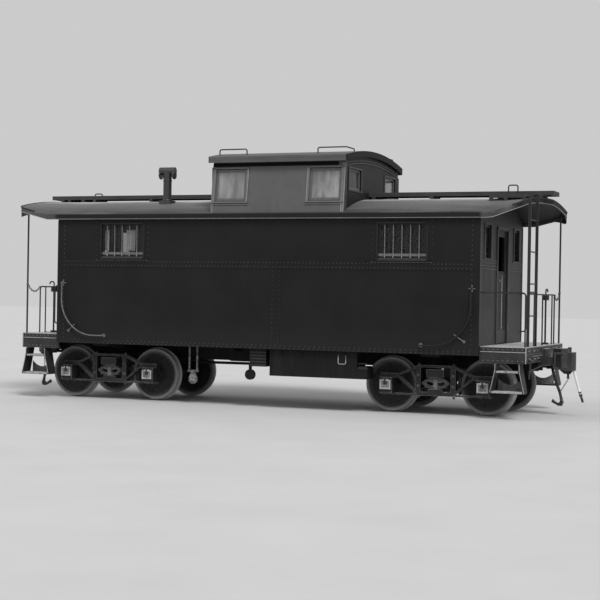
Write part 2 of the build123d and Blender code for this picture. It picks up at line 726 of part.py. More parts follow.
def main_roof():
    """The round main roof with its rim, in two halves before and behind the cupola."""
    top = ROOF_CROWN_Z + ROOF_THICK
    cupola_inner = (CUPOLA_REAR_X + CUPOLA_WALL, CUPOLA_FRONT_X - CUPOLA_WALL)
    with BuildPart() as cavity:
        roof_shell(ROOF_THICK, ROOF_RIM_DEPTH)
        with BuildSketch(Plane.XY):
            roof_outline()
            offset(amount=-ROOF_RIM_THICK, kind=Kind.INTERSECTION, mode=Mode.REPLACE)
        extrude(amount=2 * top, mode=Mode.INTERSECT)
    with BuildPart() as whole:
        roof_shell(0, ROOF_RIM_DEPTH)
        with BuildSketch(Plane.XY):
            roof_outline()
        extrude(amount=2 * top, mode=Mode.INTERSECT)
        add(cavity.part, mode=Mode.SUBTRACT)
        block(cupola_inner, (-CUPOLA_LOW_HALF_WIDTH, CUPOLA_LOW_HALF_WIDTH), (0, 2 * top), mode=Mode.SUBTRACT)
        for side in (-1, 1):
            notch = sorted((side * cupola_inner_foot(), side * CUPOLA_LOW_HALF_WIDTH))
            block((CUPOLA_REAR_X, CUPOLA_FRONT_X), notch, (0, 2 * top), mode=Mode.SUBTRACT)
    for label, span in (("roof_front", (cupola_inner[1], 2 * HOOD_X)), ("roof_rear", (-2 * HOOD_X, cupola_inner[0]))):
        with BuildPart() as half:
            add(whole.part)
            block(span, (-2 * ROOF_HALF_WIDTH, 2 * ROOF_HALF_WIDTH), (0, 2 * top), mode=Mode.INTERSECT)
        save(half, label)
    with BuildPart() as eaves:
        add(whole.part)
        block(cupola_inner, (-2 * ROOF_HALF_WIDTH, 2 * ROOF_HALF_WIDTH), (0, 2 * top), mode=Mode.INTERSECT)
    save(eaves, "cupola_eaves")


def cupola():
    """The cupola's leaning sides, its ends and its round roof."""
    foot = cupola_inner_foot()
    window_z = (CUPOLA_WINDOW_LOW_Z + CUPOLA_WINDOW_HIGH_Z) / 2
    window_height = CUPOLA_WINDOW_HIGH_Z - CUPOLA_WINDOW_LOW_Z
    places = [(CUPOLA_MIDDLE_X + step * CUPOLA_WINDOW_OFFSET, window_z) for step in (-1, 1)]
    outer_high, top_z = cupola_top()
    inner_high = outer_high - CUPOLA_WALL
    with BuildPart() as sides:
        for side in (-1, 1):
            with BuildSketch(end_view(CUPOLA_REAR_X)):
                with BuildLine():
                    Polyline(
                        (side * CUPOLA_LOW_HALF_WIDTH, ceiling_z(BODY_HALF_WIDTH)),
                        (side * BODY_HALF_WIDTH, ceiling_z(BODY_HALF_WIDTH)),
                        (side * foot, ceiling_z(foot)),
                        (side * foot, roof_z(foot)),
                        (side * inner_high, top_z),
                        (side * outer_high, top_z),
                        close=True,
                    )
                make_face()
            extrude(amount=CUPOLA_FRONT_X - CUPOLA_REAR_X)
        with BuildSketch(side_view(0, 0)):
            with Locations(*places):
                Rectangle(CUPOLA_WINDOW_WIDTH, window_height)
        extrude(amount=2 * BODY_HALF_WIDTH, both=True, mode=Mode.SUBTRACT)
    save(sides, "cupola_sides")

    end_top = CUPOLA_CROWN_Z - CUPOLA_ROOF_THICK
    with BuildPart() as ends:
        for x in (CUPOLA_REAR_X, CUPOLA_FRONT_X - CUPOLA_WALL):
            with BuildSketch(end_view(x)):
                with BuildLine():
                    Line((-foot, roof_z(foot)), (-inner_high, top_z))
                    ThreePointArc((-inner_high, top_z), (0, end_top), (inner_high, top_z))
                    Line((inner_high, top_z), (foot, roof_z(foot)))
                    ThreePointArc((foot, roof_z(foot)), (0, ROOF_CROWN_Z), (-foot, roof_z(foot)))
                make_face()
                with Locations((-CUPOLA_END_WINDOW_Y, (CUPOLA_END_WINDOW_LOW_Z + CUPOLA_WINDOW_HIGH_Z) / 2),
                               (CUPOLA_END_WINDOW_Y, (CUPOLA_END_WINDOW_LOW_Z + CUPOLA_WINDOW_HIGH_Z) / 2)):
                    Rectangle(CUPOLA_END_WINDOW_WIDTH, CUPOLA_WINDOW_HIGH_Z - CUPOLA_END_WINDOW_LOW_Z,
                              mode=Mode.SUBTRACT)
            extrude(amount=CUPOLA_WALL)
    save(ends, "cupola_ends")

    half_length = (CUPOLA_FRONT_X - CUPOLA_REAR_X) / 2 + CUPOLA_ROOF_OVERHANG
    top = 2 * CUPOLA_CROWN_Z
    with BuildPart() as cavity:
        with BuildSketch(end_view(CUPOLA_MIDDLE_X)):
            arch_band(CUPOLA_ROOF_HALF_WIDTH + ROOF_SPARE,
                      lambda y: arch_z(y, CUPOLA_CROWN_Z - CUPOLA_ROOF_THICK, CUPOLA_ROOF_RADIUS), CUPOLA_RIM_DEPTH)
        extrude(amount=half_length + ROOF_SPARE, both=True)
        with BuildSketch(Plane.XY):
            with Locations((CUPOLA_MIDDLE_X, 0)):
                RectangleRounded(2 * (half_length - CUPOLA_RIM_THICK),
                                 2 * (CUPOLA_ROOF_HALF_WIDTH - CUPOLA_RIM_THICK),
                                 CUPOLA_CORNER_RADIUS - CUPOLA_RIM_THICK)
        extrude(amount=top, mode=Mode.INTERSECT)
    with BuildPart() as roof:
        with BuildSketch(end_view(CUPOLA_MIDDLE_X)):
            arch_band(CUPOLA_ROOF_HALF_WIDTH + ROOF_SPARE,
                      lambda y: arch_z(y, CUPOLA_CROWN_Z, CUPOLA_ROOF_RADIUS), CUPOLA_RIM_DEPTH)
        extrude(amount=half_length + ROOF_SPARE, both=True)
        with BuildSketch(Plane.XY):
            with Locations((CUPOLA_MIDDLE_X, 0)):
                RectangleRounded(2 * half_length, 2 * CUPOLA_ROOF_HALF_WIDTH, CUPOLA_CORNER_RADIUS)
        extrude(amount=top, mode=Mode.INTERSECT)
        add(cavity.part, mode=Mode.SUBTRACT)
    save(roof, "cupola_roof")


def roof_walk():
    """The plank walk along the crown on saddles, with a short walk to each ladder."""
    stringer_top = WALK_TOP_Z - WALK_PLANK_THICK
    saddle_top = stringer_top - STRINGER_DEPTH
    plank_width = (2 * WALK_HALF_WIDTH - (PLANK_COUNT - 1) * WALK_PLANK_GAP) / PLANK_COUNT
    ladder_low = LADDER_WALK_X - LADDER_WALK_LENGTH / 2
    saddles_x = [ladder_low + share * (LADDER_WALK_LENGTH - SADDLE_LENGTH) for share in LADDER_POST_SHARES]
    plank_bottom = LADDER_WALK_TOP_Z - WALK_PLANK_THICK
    beam_bottom = plank_bottom - LADDER_BEAM_DEPTH
    walks = []
    for turn, inner_x in ((0, CUPOLA_FRONT_X + SEAT), (HALF_TURN, -CUPOLA_REAR_X + SEAT)):
        with BuildPart() as walk:
            for i in range(PLANK_COUNT):
                low = -WALK_HALF_WIDTH + i * (plank_width + WALK_PLANK_GAP)
                block((inner_x, WALK_END_X), (low, low + plank_width), (stringer_top, WALK_TOP_Z))
            for side in (-1, 1):
                edge = sorted((side * WALK_HALF_WIDTH, side * (WALK_HALF_WIDTH - STRINGER_WIDTH)))
                block((inner_x, WALK_END_X), edge, (saddle_top, stringer_top))
            block((WALK_END_X - SADDLE_LENGTH, WALK_END_X), (-WALK_HALF_WIDTH, WALK_HALF_WIDTH),
                  (saddle_top, stringer_top))
            for x in (WALK_SADDLE_X, WALK_INNER_SADDLE_X, inner_x + SADDLE_LENGTH, *saddles_x):
                edge_z = hood_z(x + SADDLE_LENGTH, WALK_HALF_WIDTH) + SEAT
                with BuildSketch(end_view(x)):
                    with BuildLine():
                        Polyline((-WALK_HALF_WIDTH, edge_z), (-WALK_HALF_WIDTH, stringer_top),
                                 (WALK_HALF_WIDTH, stringer_top), (WALK_HALF_WIDTH, edge_z))
                        ThreePointArc((WALK_HALF_WIDTH, edge_z), (0, ROOF_CROWN_Z + SEAT), (-WALK_HALF_WIDTH, edge_z))
                    make_face()
                extrude(amount=SADDLE_LENGTH)
            for i in range(LADDER_PLANK_COUNT):
                low = ladder_low + i * (plank_width + WALK_PLANK_GAP)
                block((low, low + plank_width), (-LADDER_WALK_END_Y, -WALK_HALF_WIDTH + SADDLE_LENGTH),
                      (plank_bottom, LADDER_WALK_TOP_Z))
            block((ladder_low, ladder_low + LADDER_WALK_LENGTH),
                  (-LADDER_WALK_END_Y, -LADDER_WALK_END_Y + SADDLE_LENGTH), (beam_bottom, plank_bottom))
            for x in saddles_x:
                post_y = (-LADDER_WALK_END_Y, -LADDER_WALK_END_Y + SADDLE_LENGTH)
                foot_z = [hood_z(x + SADDLE_LENGTH, y) + SEAT for y in post_y]
                with BuildSketch(end_view(x)):
                    with BuildLine():
                        Polyline((post_y[0], beam_bottom), (post_y[0], foot_z[0]), (post_y[1], foot_z[1]),
                                 (post_y[1], beam_bottom), close=True)
                    make_face()
                extrude(amount=SADDLE_LENGTH)
        walks.append(walk.part.rotate(Axis.Z, turn))
    with BuildPart() as both:
        for walk in walks:
            add(walk)
    save(both, "roof_walks")


def smoke_jack():
    """The stove pipe with its flashing on the roof and its T-shaped head."""
    base_z = roof_z(JACK_Y)
    flashing_top = base_z + JACK_FLASHING_HEIGHT
    with BuildPart() as jack:
        with BuildSketch(Plane(origin=(JACK_X, JACK_Y, base_z - JACK_FLASHING_RADIUS))):
            Circle(JACK_FLASHING_RADIUS)
        extrude(amount=JACK_FLASHING_RADIUS + JACK_FLASHING_HEIGHT)
        with BuildSketch(end_view(JACK_X - JACK_FLASHING_RADIUS)):
            with Locations((0, ROOF_CROWN_Z - ROOF_RADIUS)):
                Circle(ROOF_RADIUS)
        extrude(amount=2 * JACK_FLASHING_RADIUS, mode=Mode.SUBTRACT)
        with BuildSketch(Plane(origin=(JACK_X, JACK_Y, flashing_top))):
            Circle(JACK_RADIUS)
        extrude(amount=JACK_TOP_Z - flashing_top)
        with BuildSketch(Plane(origin=(JACK_X - JACK_HEAD_LENGTH / 2, JACK_Y, JACK_TOP_Z),
                               x_dir=(0, 1, 0), z_dir=(1, 0, 0))):
            Circle(JACK_HEAD_RADIUS)
        extrude(amount=JACK_HEAD_LENGTH)
    save(jack, "smoke_jack")


def platforms():
    """The open end platforms: deck plate, end sill, side skirts and the coupler's striker."""
    bottom = FLOOR_TOP_Z - PLATFORM_DEPTH
    pocket_half = SHANK_HALF + CARRY_IRON_THICK / 2
    with BuildPart() as platform:
        with BuildSketch(Plane.XY.offset(bottom)):
            with BuildLine():
                Polyline(
                    (BODY_HALF_LENGTH, -PLATFORM_HALF_WIDTH), (PLATFORM_X, -PLATFORM_HALF_WIDTH),
                    (PLATFORM_X, PLATFORM_HALF_WIDTH), (BODY_HALF_LENGTH, PLATFORM_HALF_WIDTH),
                    close=True,
                )
            make_face()
            with BuildLine():
                inner = PLATFORM_HALF_WIDTH - SKIRT_THICK
                Polyline(
                    (BODY_HALF_LENGTH, -inner), (PLATFORM_X - END_SILL_THICK, -inner),
                    (PLATFORM_X - END_SILL_THICK, inner), (BODY_HALF_LENGTH, inner), close=True,
                )
            make_face(mode=Mode.SUBTRACT)
        extrude(amount=PLATFORM_DEPTH - DECK_THICK)
        block((BODY_HALF_LENGTH, PLATFORM_X), (-PLATFORM_HALF_WIDTH, PLATFORM_HALF_WIDTH),
              (FLOOR_TOP_Z - DECK_THICK, FLOOR_TOP_Z))
        block((PLATFORM_X, PLATFORM_X + STRIKER_PROJECTION), (-STRIKER_HALF_WIDTH, STRIKER_HALF_WIDTH),
              (COUPLER_Z - SHANK_HALF - CARRY_IRON_THICK, FLOOR_TOP_Z - DECK_THICK))
        block((PLATFORM_X - END_SILL_THICK, PLATFORM_X), (-STRIKER_HALF_WIDTH, STRIKER_HALF_WIDTH),
              (COUPLER_Z - SHANK_HALF - CARRY_IRON_THICK, bottom))
        block((PLATFORM_X - END_SILL_THICK, PLATFORM_X + STRIKER_PROJECTION), (-pocket_half, pocket_half),
              (COUPLER_Z - SHANK_HALF, COUPLER_Z + SHANK_HALF + CARRY_IRON_THICK / 2), mode=Mode.SUBTRACT)
    save_pair(platform, "platforms")


def steps():
    """The platform steps: two treads between flared hanger plates on each side of each end."""
    bottom = FLOOR_TOP_Z - PLATFORM_DEPTH
    inner_low = STEP_INNER_X - STEP_FLARE
    outer_low = STEP_OUTER_X + STEP_FLARE
    flare = STEP_FLARE * (bottom - UPPER_TREAD_Z) / (bottom - LOWER_TREAD_Z)
    with BuildPart() as stair:
        with BuildSketch(side_view(0, -STEP_BACK_Y)):
            with BuildLine():
                Polyline((STEP_INNER_X, bottom), (STEP_OUTER_X, bottom), (outer_low, LOWER_TREAD_Z),
                         (inner_low, LOWER_TREAD_Z), close=True)
            make_face()
            with BuildLine():
                Polyline((STEP_INNER_X + STEP_PLATE, bottom), (STEP_OUTER_X - STEP_PLATE, bottom),
                         (outer_low - STEP_PLATE, LOWER_TREAD_Z), (inner_low + STEP_PLATE, LOWER_TREAD_Z),
                         close=True)
            make_face(mode=Mode.SUBTRACT)
        extrude(amount=STEP_FRONT_Y - STEP_BACK_Y)
        block((inner_low, outer_low), (-STEP_FRONT_Y, -STEP_BACK_Y),
              (LOWER_TREAD_Z - STEP_TREAD_THICK, LOWER_TREAD_Z))
        block((STEP_INNER_X - flare + STEP_PLATE / 2, STEP_OUTER_X + flare - STEP_PLATE / 2),
              (-STEP_FRONT_Y, -STEP_BACK_Y), (UPPER_TREAD_Z - STEP_TREAD_THICK, UPPER_TREAD_Z))
        mirror(about=Plane.XZ)
    save_pair(stair, "platform_steps")


def end_railings():
    """The railing across each end, its corner post and the bars beside the steps."""
    side_bar_x = PLATFORM_X - ROD_DIAMETER
    grab_x = BODY_HALF_LENGTH + SIDE_BAR_REACH
    post_top_z = hood_z(RAIL_X, POST_Y + POST_DIAMETER / 2) - ROOF_THICK - HOOD_SEAT
    with BuildPart() as railing:
        rod([(RAIL_X, POST_Y, FLOOR_TOP_Z), (RAIL_X, POST_Y, post_top_z)], POST_DIAMETER)
        rod([(RAIL_X, LADDER_INNER_Y + STILE_THICK / 2, RAIL_TOP_Z), (RAIL_X, RAIL_TO_Y, RAIL_TOP_Z),
             (RAIL_X, RAIL_TO_Y, FLOOR_TOP_Z)], ROD_DIAMETER, ROD_BEND)
        rod([(RAIL_X, RAIL_MIDDLE_Y, FLOOR_TOP_Z), (RAIL_X, RAIL_MIDDLE_Y, RAIL_TOP_Z)], ROD_DIAMETER)
        rod([(BODY_HALF_LENGTH, -SIDE_BAR_Y, SIDE_BAR_Z), (side_bar_x, -SIDE_BAR_Y, SIDE_BAR_Z),
             (side_bar_x, -SIDE_BAR_Y, FLOOR_TOP_Z)], ROD_DIAMETER, ROD_BEND)
        rod([(BODY_HALF_LENGTH, SIDE_BAR_Y, SIDE_BAR_Z), (grab_x, SIDE_BAR_Y, SIDE_BAR_Z),
             (grab_x, SIDE_BAR_Y, SIDE_BAR_LOW_Z), (BODY_HALF_LENGTH, SIDE_BAR_Y, SIDE_BAR_LOW_Z)],
            ROD_DIAMETER, ROD_BEND)
    save_pair(railing, "end_railings")


def ladders():
    """The ladder to the roof at one corner of each end."""
    hook_x = HOOD_LADDER_X - LADDER_HOOK
    with BuildPart() as ladder:
        for y in (LADDER_OUTER_Y, LADDER_INNER_Y):
            foot_z = hood_z(hook_x + STILE_THICK, abs(y) - STILE_THICK / 2)
            top = foot_z + LADDER_ROOF_REACH
            with BuildSketch(side_view(0, y + STILE_THICK / 2)):
                with BuildLine():
                    Polyline(
                        (RAIL_X - STILE_WIDTH / 2, FLOOR_TOP_Z), (RAIL_X + STILE_WIDTH / 2, FLOOR_TOP_Z),
                        (RAIL_X + STILE_WIDTH / 2, top), (hook_x, top), (hook_x, foot_z),
                        (hook_x + STILE_THICK, foot_z), (hook_x + STILE_THICK, top - STILE_THICK),
                        (RAIL_X - STILE_WIDTH / 2, top - STILE_THICK), close=True,
                    )
                make_face()
            extrude(amount=STILE_THICK)
        for i in range(RUNG_COUNT):
            z = RUNG_LOW_Z + i * RUNG_PITCH
            rod([(RAIL_X, LADDER_OUTER_Y, z), (RAIL_X, LADDER_INNER_Y, z)], RUNG_DIAMETER)
    save_pair(ladder, "roof_ladders")


def brake_staffs():
    """The hand brake staff at each end, with its ratchet under the railing's top and its hooked handle."""
    staff_x = RAIL_X - RATCHET_RADIUS - ROD_DIAMETER / 2 - SEAT
    with BuildPart() as brake:
        with BuildSketch(Plane(origin=(staff_x, STAFF_Y, FLOOR_TOP_Z))):
            Circle(STAFF_DIAMETER / 2)
        extrude(amount=STAFF_TOP_Z - FLOOR_TOP_Z)
        with BuildSketch(Plane(origin=(staff_x, STAFF_Y, STAFF_TOP_Z - RATCHET_HEIGHT))):
            Circle(RATCHET_RADIUS)
        extrude(amount=RATCHET_HEIGHT)
        with BuildSketch(Plane(origin=(staff_x, STAFF_Y, FLOOR_TOP_Z))):
            Circle(RATCHET_RADIUS)
        extrude(amount=STAFF_DIAMETER)
        rod([(staff_x, STAFF_Y, STAFF_TOP_Z), (staff_x, STAFF_Y, STAFF_TOP_Z + HANDLE_RISE),
             (staff_x, STAFF_Y + HANDLE_REACH, STAFF_TOP_Z + HANDLE_RISE),
             (staff_x, STAFF_Y + HANDLE_REACH, STAFF_TOP_Z + HANDLE_RISE / 2)], ROD_DIAMETER, HANDLE_BEND)
    save_pair(brake, "brake_staffs")


def handrails():
    """The swept side handrails, two on each side."""
    y = BODY_HALF_WIDTH + HANDRAIL_STAND_OFF
    with BuildPart() as rails:
        for side in (-1, 1):
            for end in (-1, 1):
                with BuildLine() as path:
                    FilletPolyline(
                        (end * HANDRAIL_X, side * BODY_HALF_WIDTH, HANDRAIL_TOP_Z),
                        (end * HANDRAIL_X, side * y, HANDRAIL_TOP_Z),
                        (end * HANDRAIL_X, side * y, HANDRAIL_LOW_Z),
                        (end * HANDRAIL_END_X, side * y, HANDRAIL_LOW_Z),
                        (end * HANDRAIL_END_X, side * BODY_HALF_WIDTH, HANDRAIL_LOW_Z),
                        radius=[HANDRAIL_DIAMETER, HANDRAIL_SWEEP, HANDRAIL_DIAMETER],
                    )
                with BuildSketch(Plane(origin=path.line @ 0, z_dir=path.line % 0)) as section:
                    Circle(HANDRAIL_DIAMETER / 2)
                sweep(section.sketch, path=path.line)
    save(rails, "side_handrails")


def cupola_grabs():
    """Grab irons near the cupola roof's corners."""
    y = CUPOLA_ROOF_HALF_WIDTH - GRAB_INSET_Y
    low = arch_z(y - GRAB_DIAMETER / 2, CUPOLA_CROWN_Z, CUPOLA_ROOF_RADIUS)
    high = low + GRAB_HEIGHT
    with BuildPart() as grabs:
        for side in (-1, 1):
            rear = CUPOLA_REAR_X + GRAB_INSET_X
            rod([(rear, side * y, low), (rear, side * y, high), (rear + GRAB_LENGTH, side * y, high),
                 (rear + GRAB_LENGTH, side * y, low)], GRAB_DIAMETER, GRAB_DIAMETER * 1.5)
            front = CUPOLA_FRONT_X - GRAB_INSET_X
            inner = y - GRAB_RETURN
            rod([(front - GRAB_LENGTH, side * y, low), (front - GRAB_LENGTH, side * y, high),
                 (front, side * y, high), (front, side * inner, high),
                 (front, side * inner, arch_z(inner - GRAB_DIAMETER / 2, CUPOLA_CROWN_Z, CUPOLA_ROOF_RADIUS))],
                GRAB_DIAMETER, GRAB_DIAMETER * 1.5)
        for turn in (-1, 1):
            foot_x = LADDER_WALK_X - WALK_GRAB_LENGTH / 2
            rod([(-turn * foot_x, turn * WALK_GRAB_Y, LADDER_WALK_TOP_Z),
                 (-turn * foot_x, turn * WALK_GRAB_Y, WALK_TOP_Z + WALK_GRAB_HEIGHT),
                 (-turn * (foot_x + WALK_GRAB_LENGTH), turn * WALK_GRAB_Y, WALK_TOP_Z + WALK_GRAB_HEIGHT),
                 (-turn * (foot_x + WALK_GRAB_LENGTH), turn * WALK_GRAB_Y, LADDER_WALK_TOP_Z)],
                GRAB_DIAMETER, GRAB_DIAMETER * 1.5)
    save(grabs, "roof_grab_irons")


def couplers():
    """The knuckle couplers with their shanks in the strikers."""
    with BuildPart() as coupler:
        block((SHANK_REAR_X, COUPLER_HEAD_X), (-SHANK_HALF, SHANK_HALF),
              (COUPLER_Z - SHANK_HALF, COUPLER_Z + SHANK_HALF))
        for origin_x, outline, low, height in (
                (COUPLER_HEAD_X, COUPLER_HEAD_XY, COUPLER_HEAD_LOW, COUPLER_HEAD_HEIGHT),
                (PULLING_FACE_X, KNUCKLE_XY, -KNUCKLE_HEIGHT / 2, KNUCKLE_HEIGHT)):
            with BuildSketch(Plane.XY.offset(COUPLER_Z + low)):
                with BuildLine():
                    Polyline(*[(origin_x + x, y) for x, y in outline], close=True)
                make_face()
            extrude(amount=height)
        with BuildSketch(side_view(COUPLER_HEAD_X, CHIN_HALF)):
            with BuildLine():
                Polyline(*[(x, COUPLER_Z + z) for x, z in CHIN_XZ], close=True)
            make_face()
        extrude(amount=2 * CHIN_HALF)
    save_pair(coupler, "couplers")

    lug_top = FLOOR_TOP_Z - PLATFORM_DEPTH + 2 * LEVER_LUG
    with BuildPart() as lever:
        rod([(LEVER_OUT_X, LEVER_OUT_Y - LEVER_LUG, LEVER_OUT_Z - LEVER_DROP), (LEVER_OUT_X, LEVER_OUT_Y, LEVER_OUT_Z),
             (LEVER_X, LEVER_KNEE_Y, LEVER_Z), (LEVER_X, LEVER_END_Y, LEVER_Z)], LEVER_DIAMETER, LEVER_LUG)
        for x, y, z in ((LEVER_OUT_X, LEVER_OUT_Y + LEVER_LUG, LEVER_OUT_Z), (LEVER_X, LEVER_KNEE_Y + LEVER_LUG, LEVER_Z)):
            block((x - LEVER_DIAMETER / 2, x + LEVER_DIAMETER / 2), (y, y + LEVER_LUG), (z, lug_top))
            block((PLATFORM_X, x + LEVER_DIAMETER / 2), (y, y + LEVER_LUG), (lug_top - LEVER_LUG, lug_top))
    save_pair(lever, "uncoupling_levers")


def equipment():
    """The boxes, trap, tank and cylinder carried under the floor."""
    with BuildPart() as boxes:
        block((BOX_REAR_X, BOX_FRONT_X), (BOX_NEAR_Y, BOX_FAR_Y), (BOX_BOTTOM_Z, SIDE_BOTTOM_Z))
        block((BOX_FRONT_X, BOX_FRONT_X + SMALL_BOX_LENGTH), (BOX_NEAR_Y, SMALL_BOX_FAR_Y),
              (BOX_BOTTOM_Z, SMALL_BOX_TOP_Z))
        block((CRATE_REAR_X, CRATE_FRONT_X), (BOX_NEAR_Y, BOX_FAR_Y), (CRATE_BOTTOM_Z, SIDE_BOTTOM_Z))
        with BuildSketch(side_view(VALVE_X, BOX_NEAR_Y + VALVE_INSET)):
            with Locations((0, VALVE_Z)):
                Circle(VALVE_RADIUS)
        extrude(amount=-VALVE_THICK)
        block((VALVE_X - VALVE_NECK, VALVE_X + VALVE_NECK),
              (BOX_NEAR_Y + VALVE_INSET, BOX_NEAR_Y + VALVE_INSET + VALVE_THICK), (VALVE_Z, VALVE_ARM_Z))
        block((VALVE_X - VALVE_NECK, CRATE_REAR_X),
              (BOX_NEAR_Y + VALVE_INSET, BOX_NEAR_Y + VALVE_INSET + VALVE_THICK), (CRATE_BOTTOM_Z, VALVE_ARM_Z))
    save(boxes, "underfloor_boxes")
    bulb_z = TRAP_BOTTOM_Z + TRAP_BULB_HEIGHT
    with BuildPart() as trap:
        for side in (-1, 1):
            pipe_x = TRAP_X + side * TRAP_PIPE_HALF
            rod([(pipe_x, TRAP_Y, SIDE_BOTTOM_Z + HANGER_THICK), (pipe_x, TRAP_Y, TRAP_TOP_Z)], TRAP_PIPE_DIAMETER)
        rod([(TRAP_X - TRAP_CROSS_HALF, TRAP_Y, TRAP_TOP_Z), (TRAP_X + TRAP_CROSS_HALF, TRAP_Y, TRAP_TOP_Z)],
            TRAP_CROSS_DIAMETER)
        with BuildSketch(side_view(TRAP_X, TRAP_Y)) as drop:
            with BuildLine():
                Polyline((0, TRAP_BOTTOM_Z), (0, TRAP_TOP_Z), (TRAP_NECK, TRAP_TOP_Z), (TRAP_RADIUS, bulb_z),
                         (TRAP_RADIUS, TRAP_BOTTOM_Z + TRAP_CHAMFER), (TRAP_FOOT_RADIUS, TRAP_BOTTOM_Z),
                         (0, TRAP_BOTTOM_Z))
            make_face()
        revolve(axis=Axis((TRAP_X, TRAP_Y, 0), (0, 0, 1)))
        block((CROSS_BEARER_X[0] + CROSS_BEARER_LENGTH / 2, CROSS_BEARER_X[1] - CROSS_BEARER_LENGTH / 2),
              (TRAP_Y - TRAP_PIPE_DIAMETER, TRAP_Y + TRAP_PIPE_DIAMETER),
              (SIDE_BOTTOM_Z, SIDE_BOTTOM_Z + HANGER_THICK))
    save(trap, "drain_trap")
    tank_hang_z = SIDE_BOTTOM_Z
    with BuildPart() as tanks:
        for x, radius, length in ((RESERVOIR_X, RESERVOIR_RADIUS, RESERVOIR_LENGTH),
                                  (CYLINDER_X, CYLINDER_RADIUS, CYLINDER_LENGTH)):
            with BuildSketch(end_view(x - length / 2)):
                with Locations((TANK_Y, tank_hang_z - RESERVOIR_RADIUS)):
                    Circle(radius)
            extrude(amount=length)
            for step in (-1, 1):
                strap_x = x + step * (length / 2 - 3 * HANGER_THICK)
                block((strap_x - HANGER_THICK, strap_x + HANGER_THICK), (TANK_Y, INNER_HALF_WIDTH),
                      (tank_hang_z - HANGER_THICK, tank_hang_z))
                block((strap_x - HANGER_THICK, strap_x + HANGER_THICK), (TANK_Y - HANGER_THICK, TANK_Y + HANGER_THICK),
                      (tank_hang_z - RESERVOIR_RADIUS, tank_hang_z))
    save(tanks, "air_tanks")


def train_line():
    """The brake pipe from end to end, dipping under the centre sill, with its angle cocks."""
    with BuildPart() as pipe:
        rod([(PIPE_END_X, HOSE_Y, PIPE_Z), (PIPE_DIP_X, HOSE_Y, PIPE_Z), (PIPE_LOW_X, HOSE_Y / 2, PIPE_LOW_Z),
             (-PIPE_LOW_X, -HOSE_Y / 2, PIPE_LOW_Z), (-PIPE_DIP_X, -HOSE_Y, PIPE_Z),
             (-PIPE_END_X, -HOSE_Y, PIPE_Z)], PIPE_DIAMETER, PIPE_BEND)
        for end in (-1, 1):
            cock_x = end * (PIPE_END_X - COCK_LENGTH / 2)
            with Locations((cock_x, end * HOSE_Y, PIPE_Z)):
                Box(COCK_LENGTH, COCK_WIDTH, COCK_WIDTH)
            with BuildSketch(Plane(origin=(end * PIPE_END_X, end * HOSE_Y, PIPE_Z),
                                   z_dir=(end * math.sin(math.radians(NIPPLE_ANGLE)), 0,
                                          -math.cos(math.radians(NIPPLE_ANGLE))))) as nipple:
                Circle(PIPE_DIAMETER / 2)
            extrude(amount=NIPPLE_LENGTH)
            block(sorted((end * (PLATFORM_X - END_SILL_THICK), end * PLATFORM_X)),
                  sorted((end * (HOSE_Y - PIPE_DIAMETER), end * (HOSE_Y + PIPE_DIAMETER))),
                  (PIPE_Z, FLOOR_TOP_Z - PLATFORM_DEPTH))
    save(pipe, "train_line")


def cord_path(points):
    """Straight runs joined by arcs as large as the runs allow, and their radii."""
    radii = []
    for before, corner, after in zip(points, points[1:], points[2:]):
        run_in = Vector(*corner) - Vector(*before)
        run_out = Vector(*after) - Vector(*corner)
        half_turn = math.radians(run_in.get_angle(run_out) / 2)
        radii.append(ARC_SHARE * min(run_in.length, run_out.length) / math.tan(half_turn))
    with BuildLine() as path:
        FilletPolyline(*points, radius=radii)
    return path.line, radii


def cord(points, diameter, label):
    """A free hose with round bends along the points; gives back its centre line."""
    line, radii = cord_path(points)
    with BuildPart() as hose:
        with BuildSketch(Plane(origin=line @ 0, z_dir=line % 0)) as section:
            Circle(diameter / 2)
        sweep(section.sketch, path=line)
    save(hose, label)
    length = sum(edge.length for edge in line.edges())
    print(label, "length", round(length), "radii", [round(radius) for radius in radii])
    return line


def hoses():
    """The brake hose and its glad hand at each end, and the canvas hose under the front coupler."""
    outward = Vector(math.sin(math.radians(NIPPLE_ANGLE)), 0, -math.cos(math.radians(NIPPLE_ANGLE)))
    start = Vector(PIPE_END_X, HOSE_Y, PIPE_Z) + outward * NIPPLE_LENGTH
    brake_route = [start, start + outward * FIRST_HOSE_RUN] + [Vector(x, HOSE_Y, z) for x, z in BRAKE_HOSE_XZ]
    for end, turn in ENDS:
        line = cord([tuple(point.rotate(Axis.Z, turn)) for point in brake_route], HOSE_DIAMETER, f"brake_hose_{end}")
        tip = line @ 1
        flip = math.cos(math.radians(turn))
        with BuildPart() as glad_hand:
            with BuildSketch(Plane(origin=tip, z_dir=line % 1)):
                Circle(HOSE_DIAMETER / 2 + GLAD_WALL)
            extrude(amount=GLAD_NECK)
            with BuildSketch(Plane(origin=tip + Vector(0, flip * GLAD_THICK / 2, 0), x_dir=(flip, 0, 0),
                                   z_dir=(0, -flip, 0))):
                with BuildLine():
                    Polyline(*GLAD_XZ, close=True)
                make_face()
            extrude(amount=GLAD_THICK)
        save(glad_hand, f"glad_hand_{end}")

    line = cord([(x, 0, z) for x, z in CANVAS_HOSE_XZ], CANVAS_HOSE_DIAMETER, "canvas_hose")
    with BuildPart() as nozzle:
        with BuildSketch(Plane(origin=line @ 1, z_dir=line % 1)):
            Circle(NOZZLE_DIAMETER / 2)
        extrude(amount=NOZZLE_COLLAR_LENGTH)
        with BuildSketch(Plane(origin=line @ 1, z_dir=line % 1)):
            Circle(NOZZLE_TIP_DIAMETER / 2)
        extrude(amount=NOZZLE_LENGTH)
    save(nozzle, "canvas_hose_nozzle")


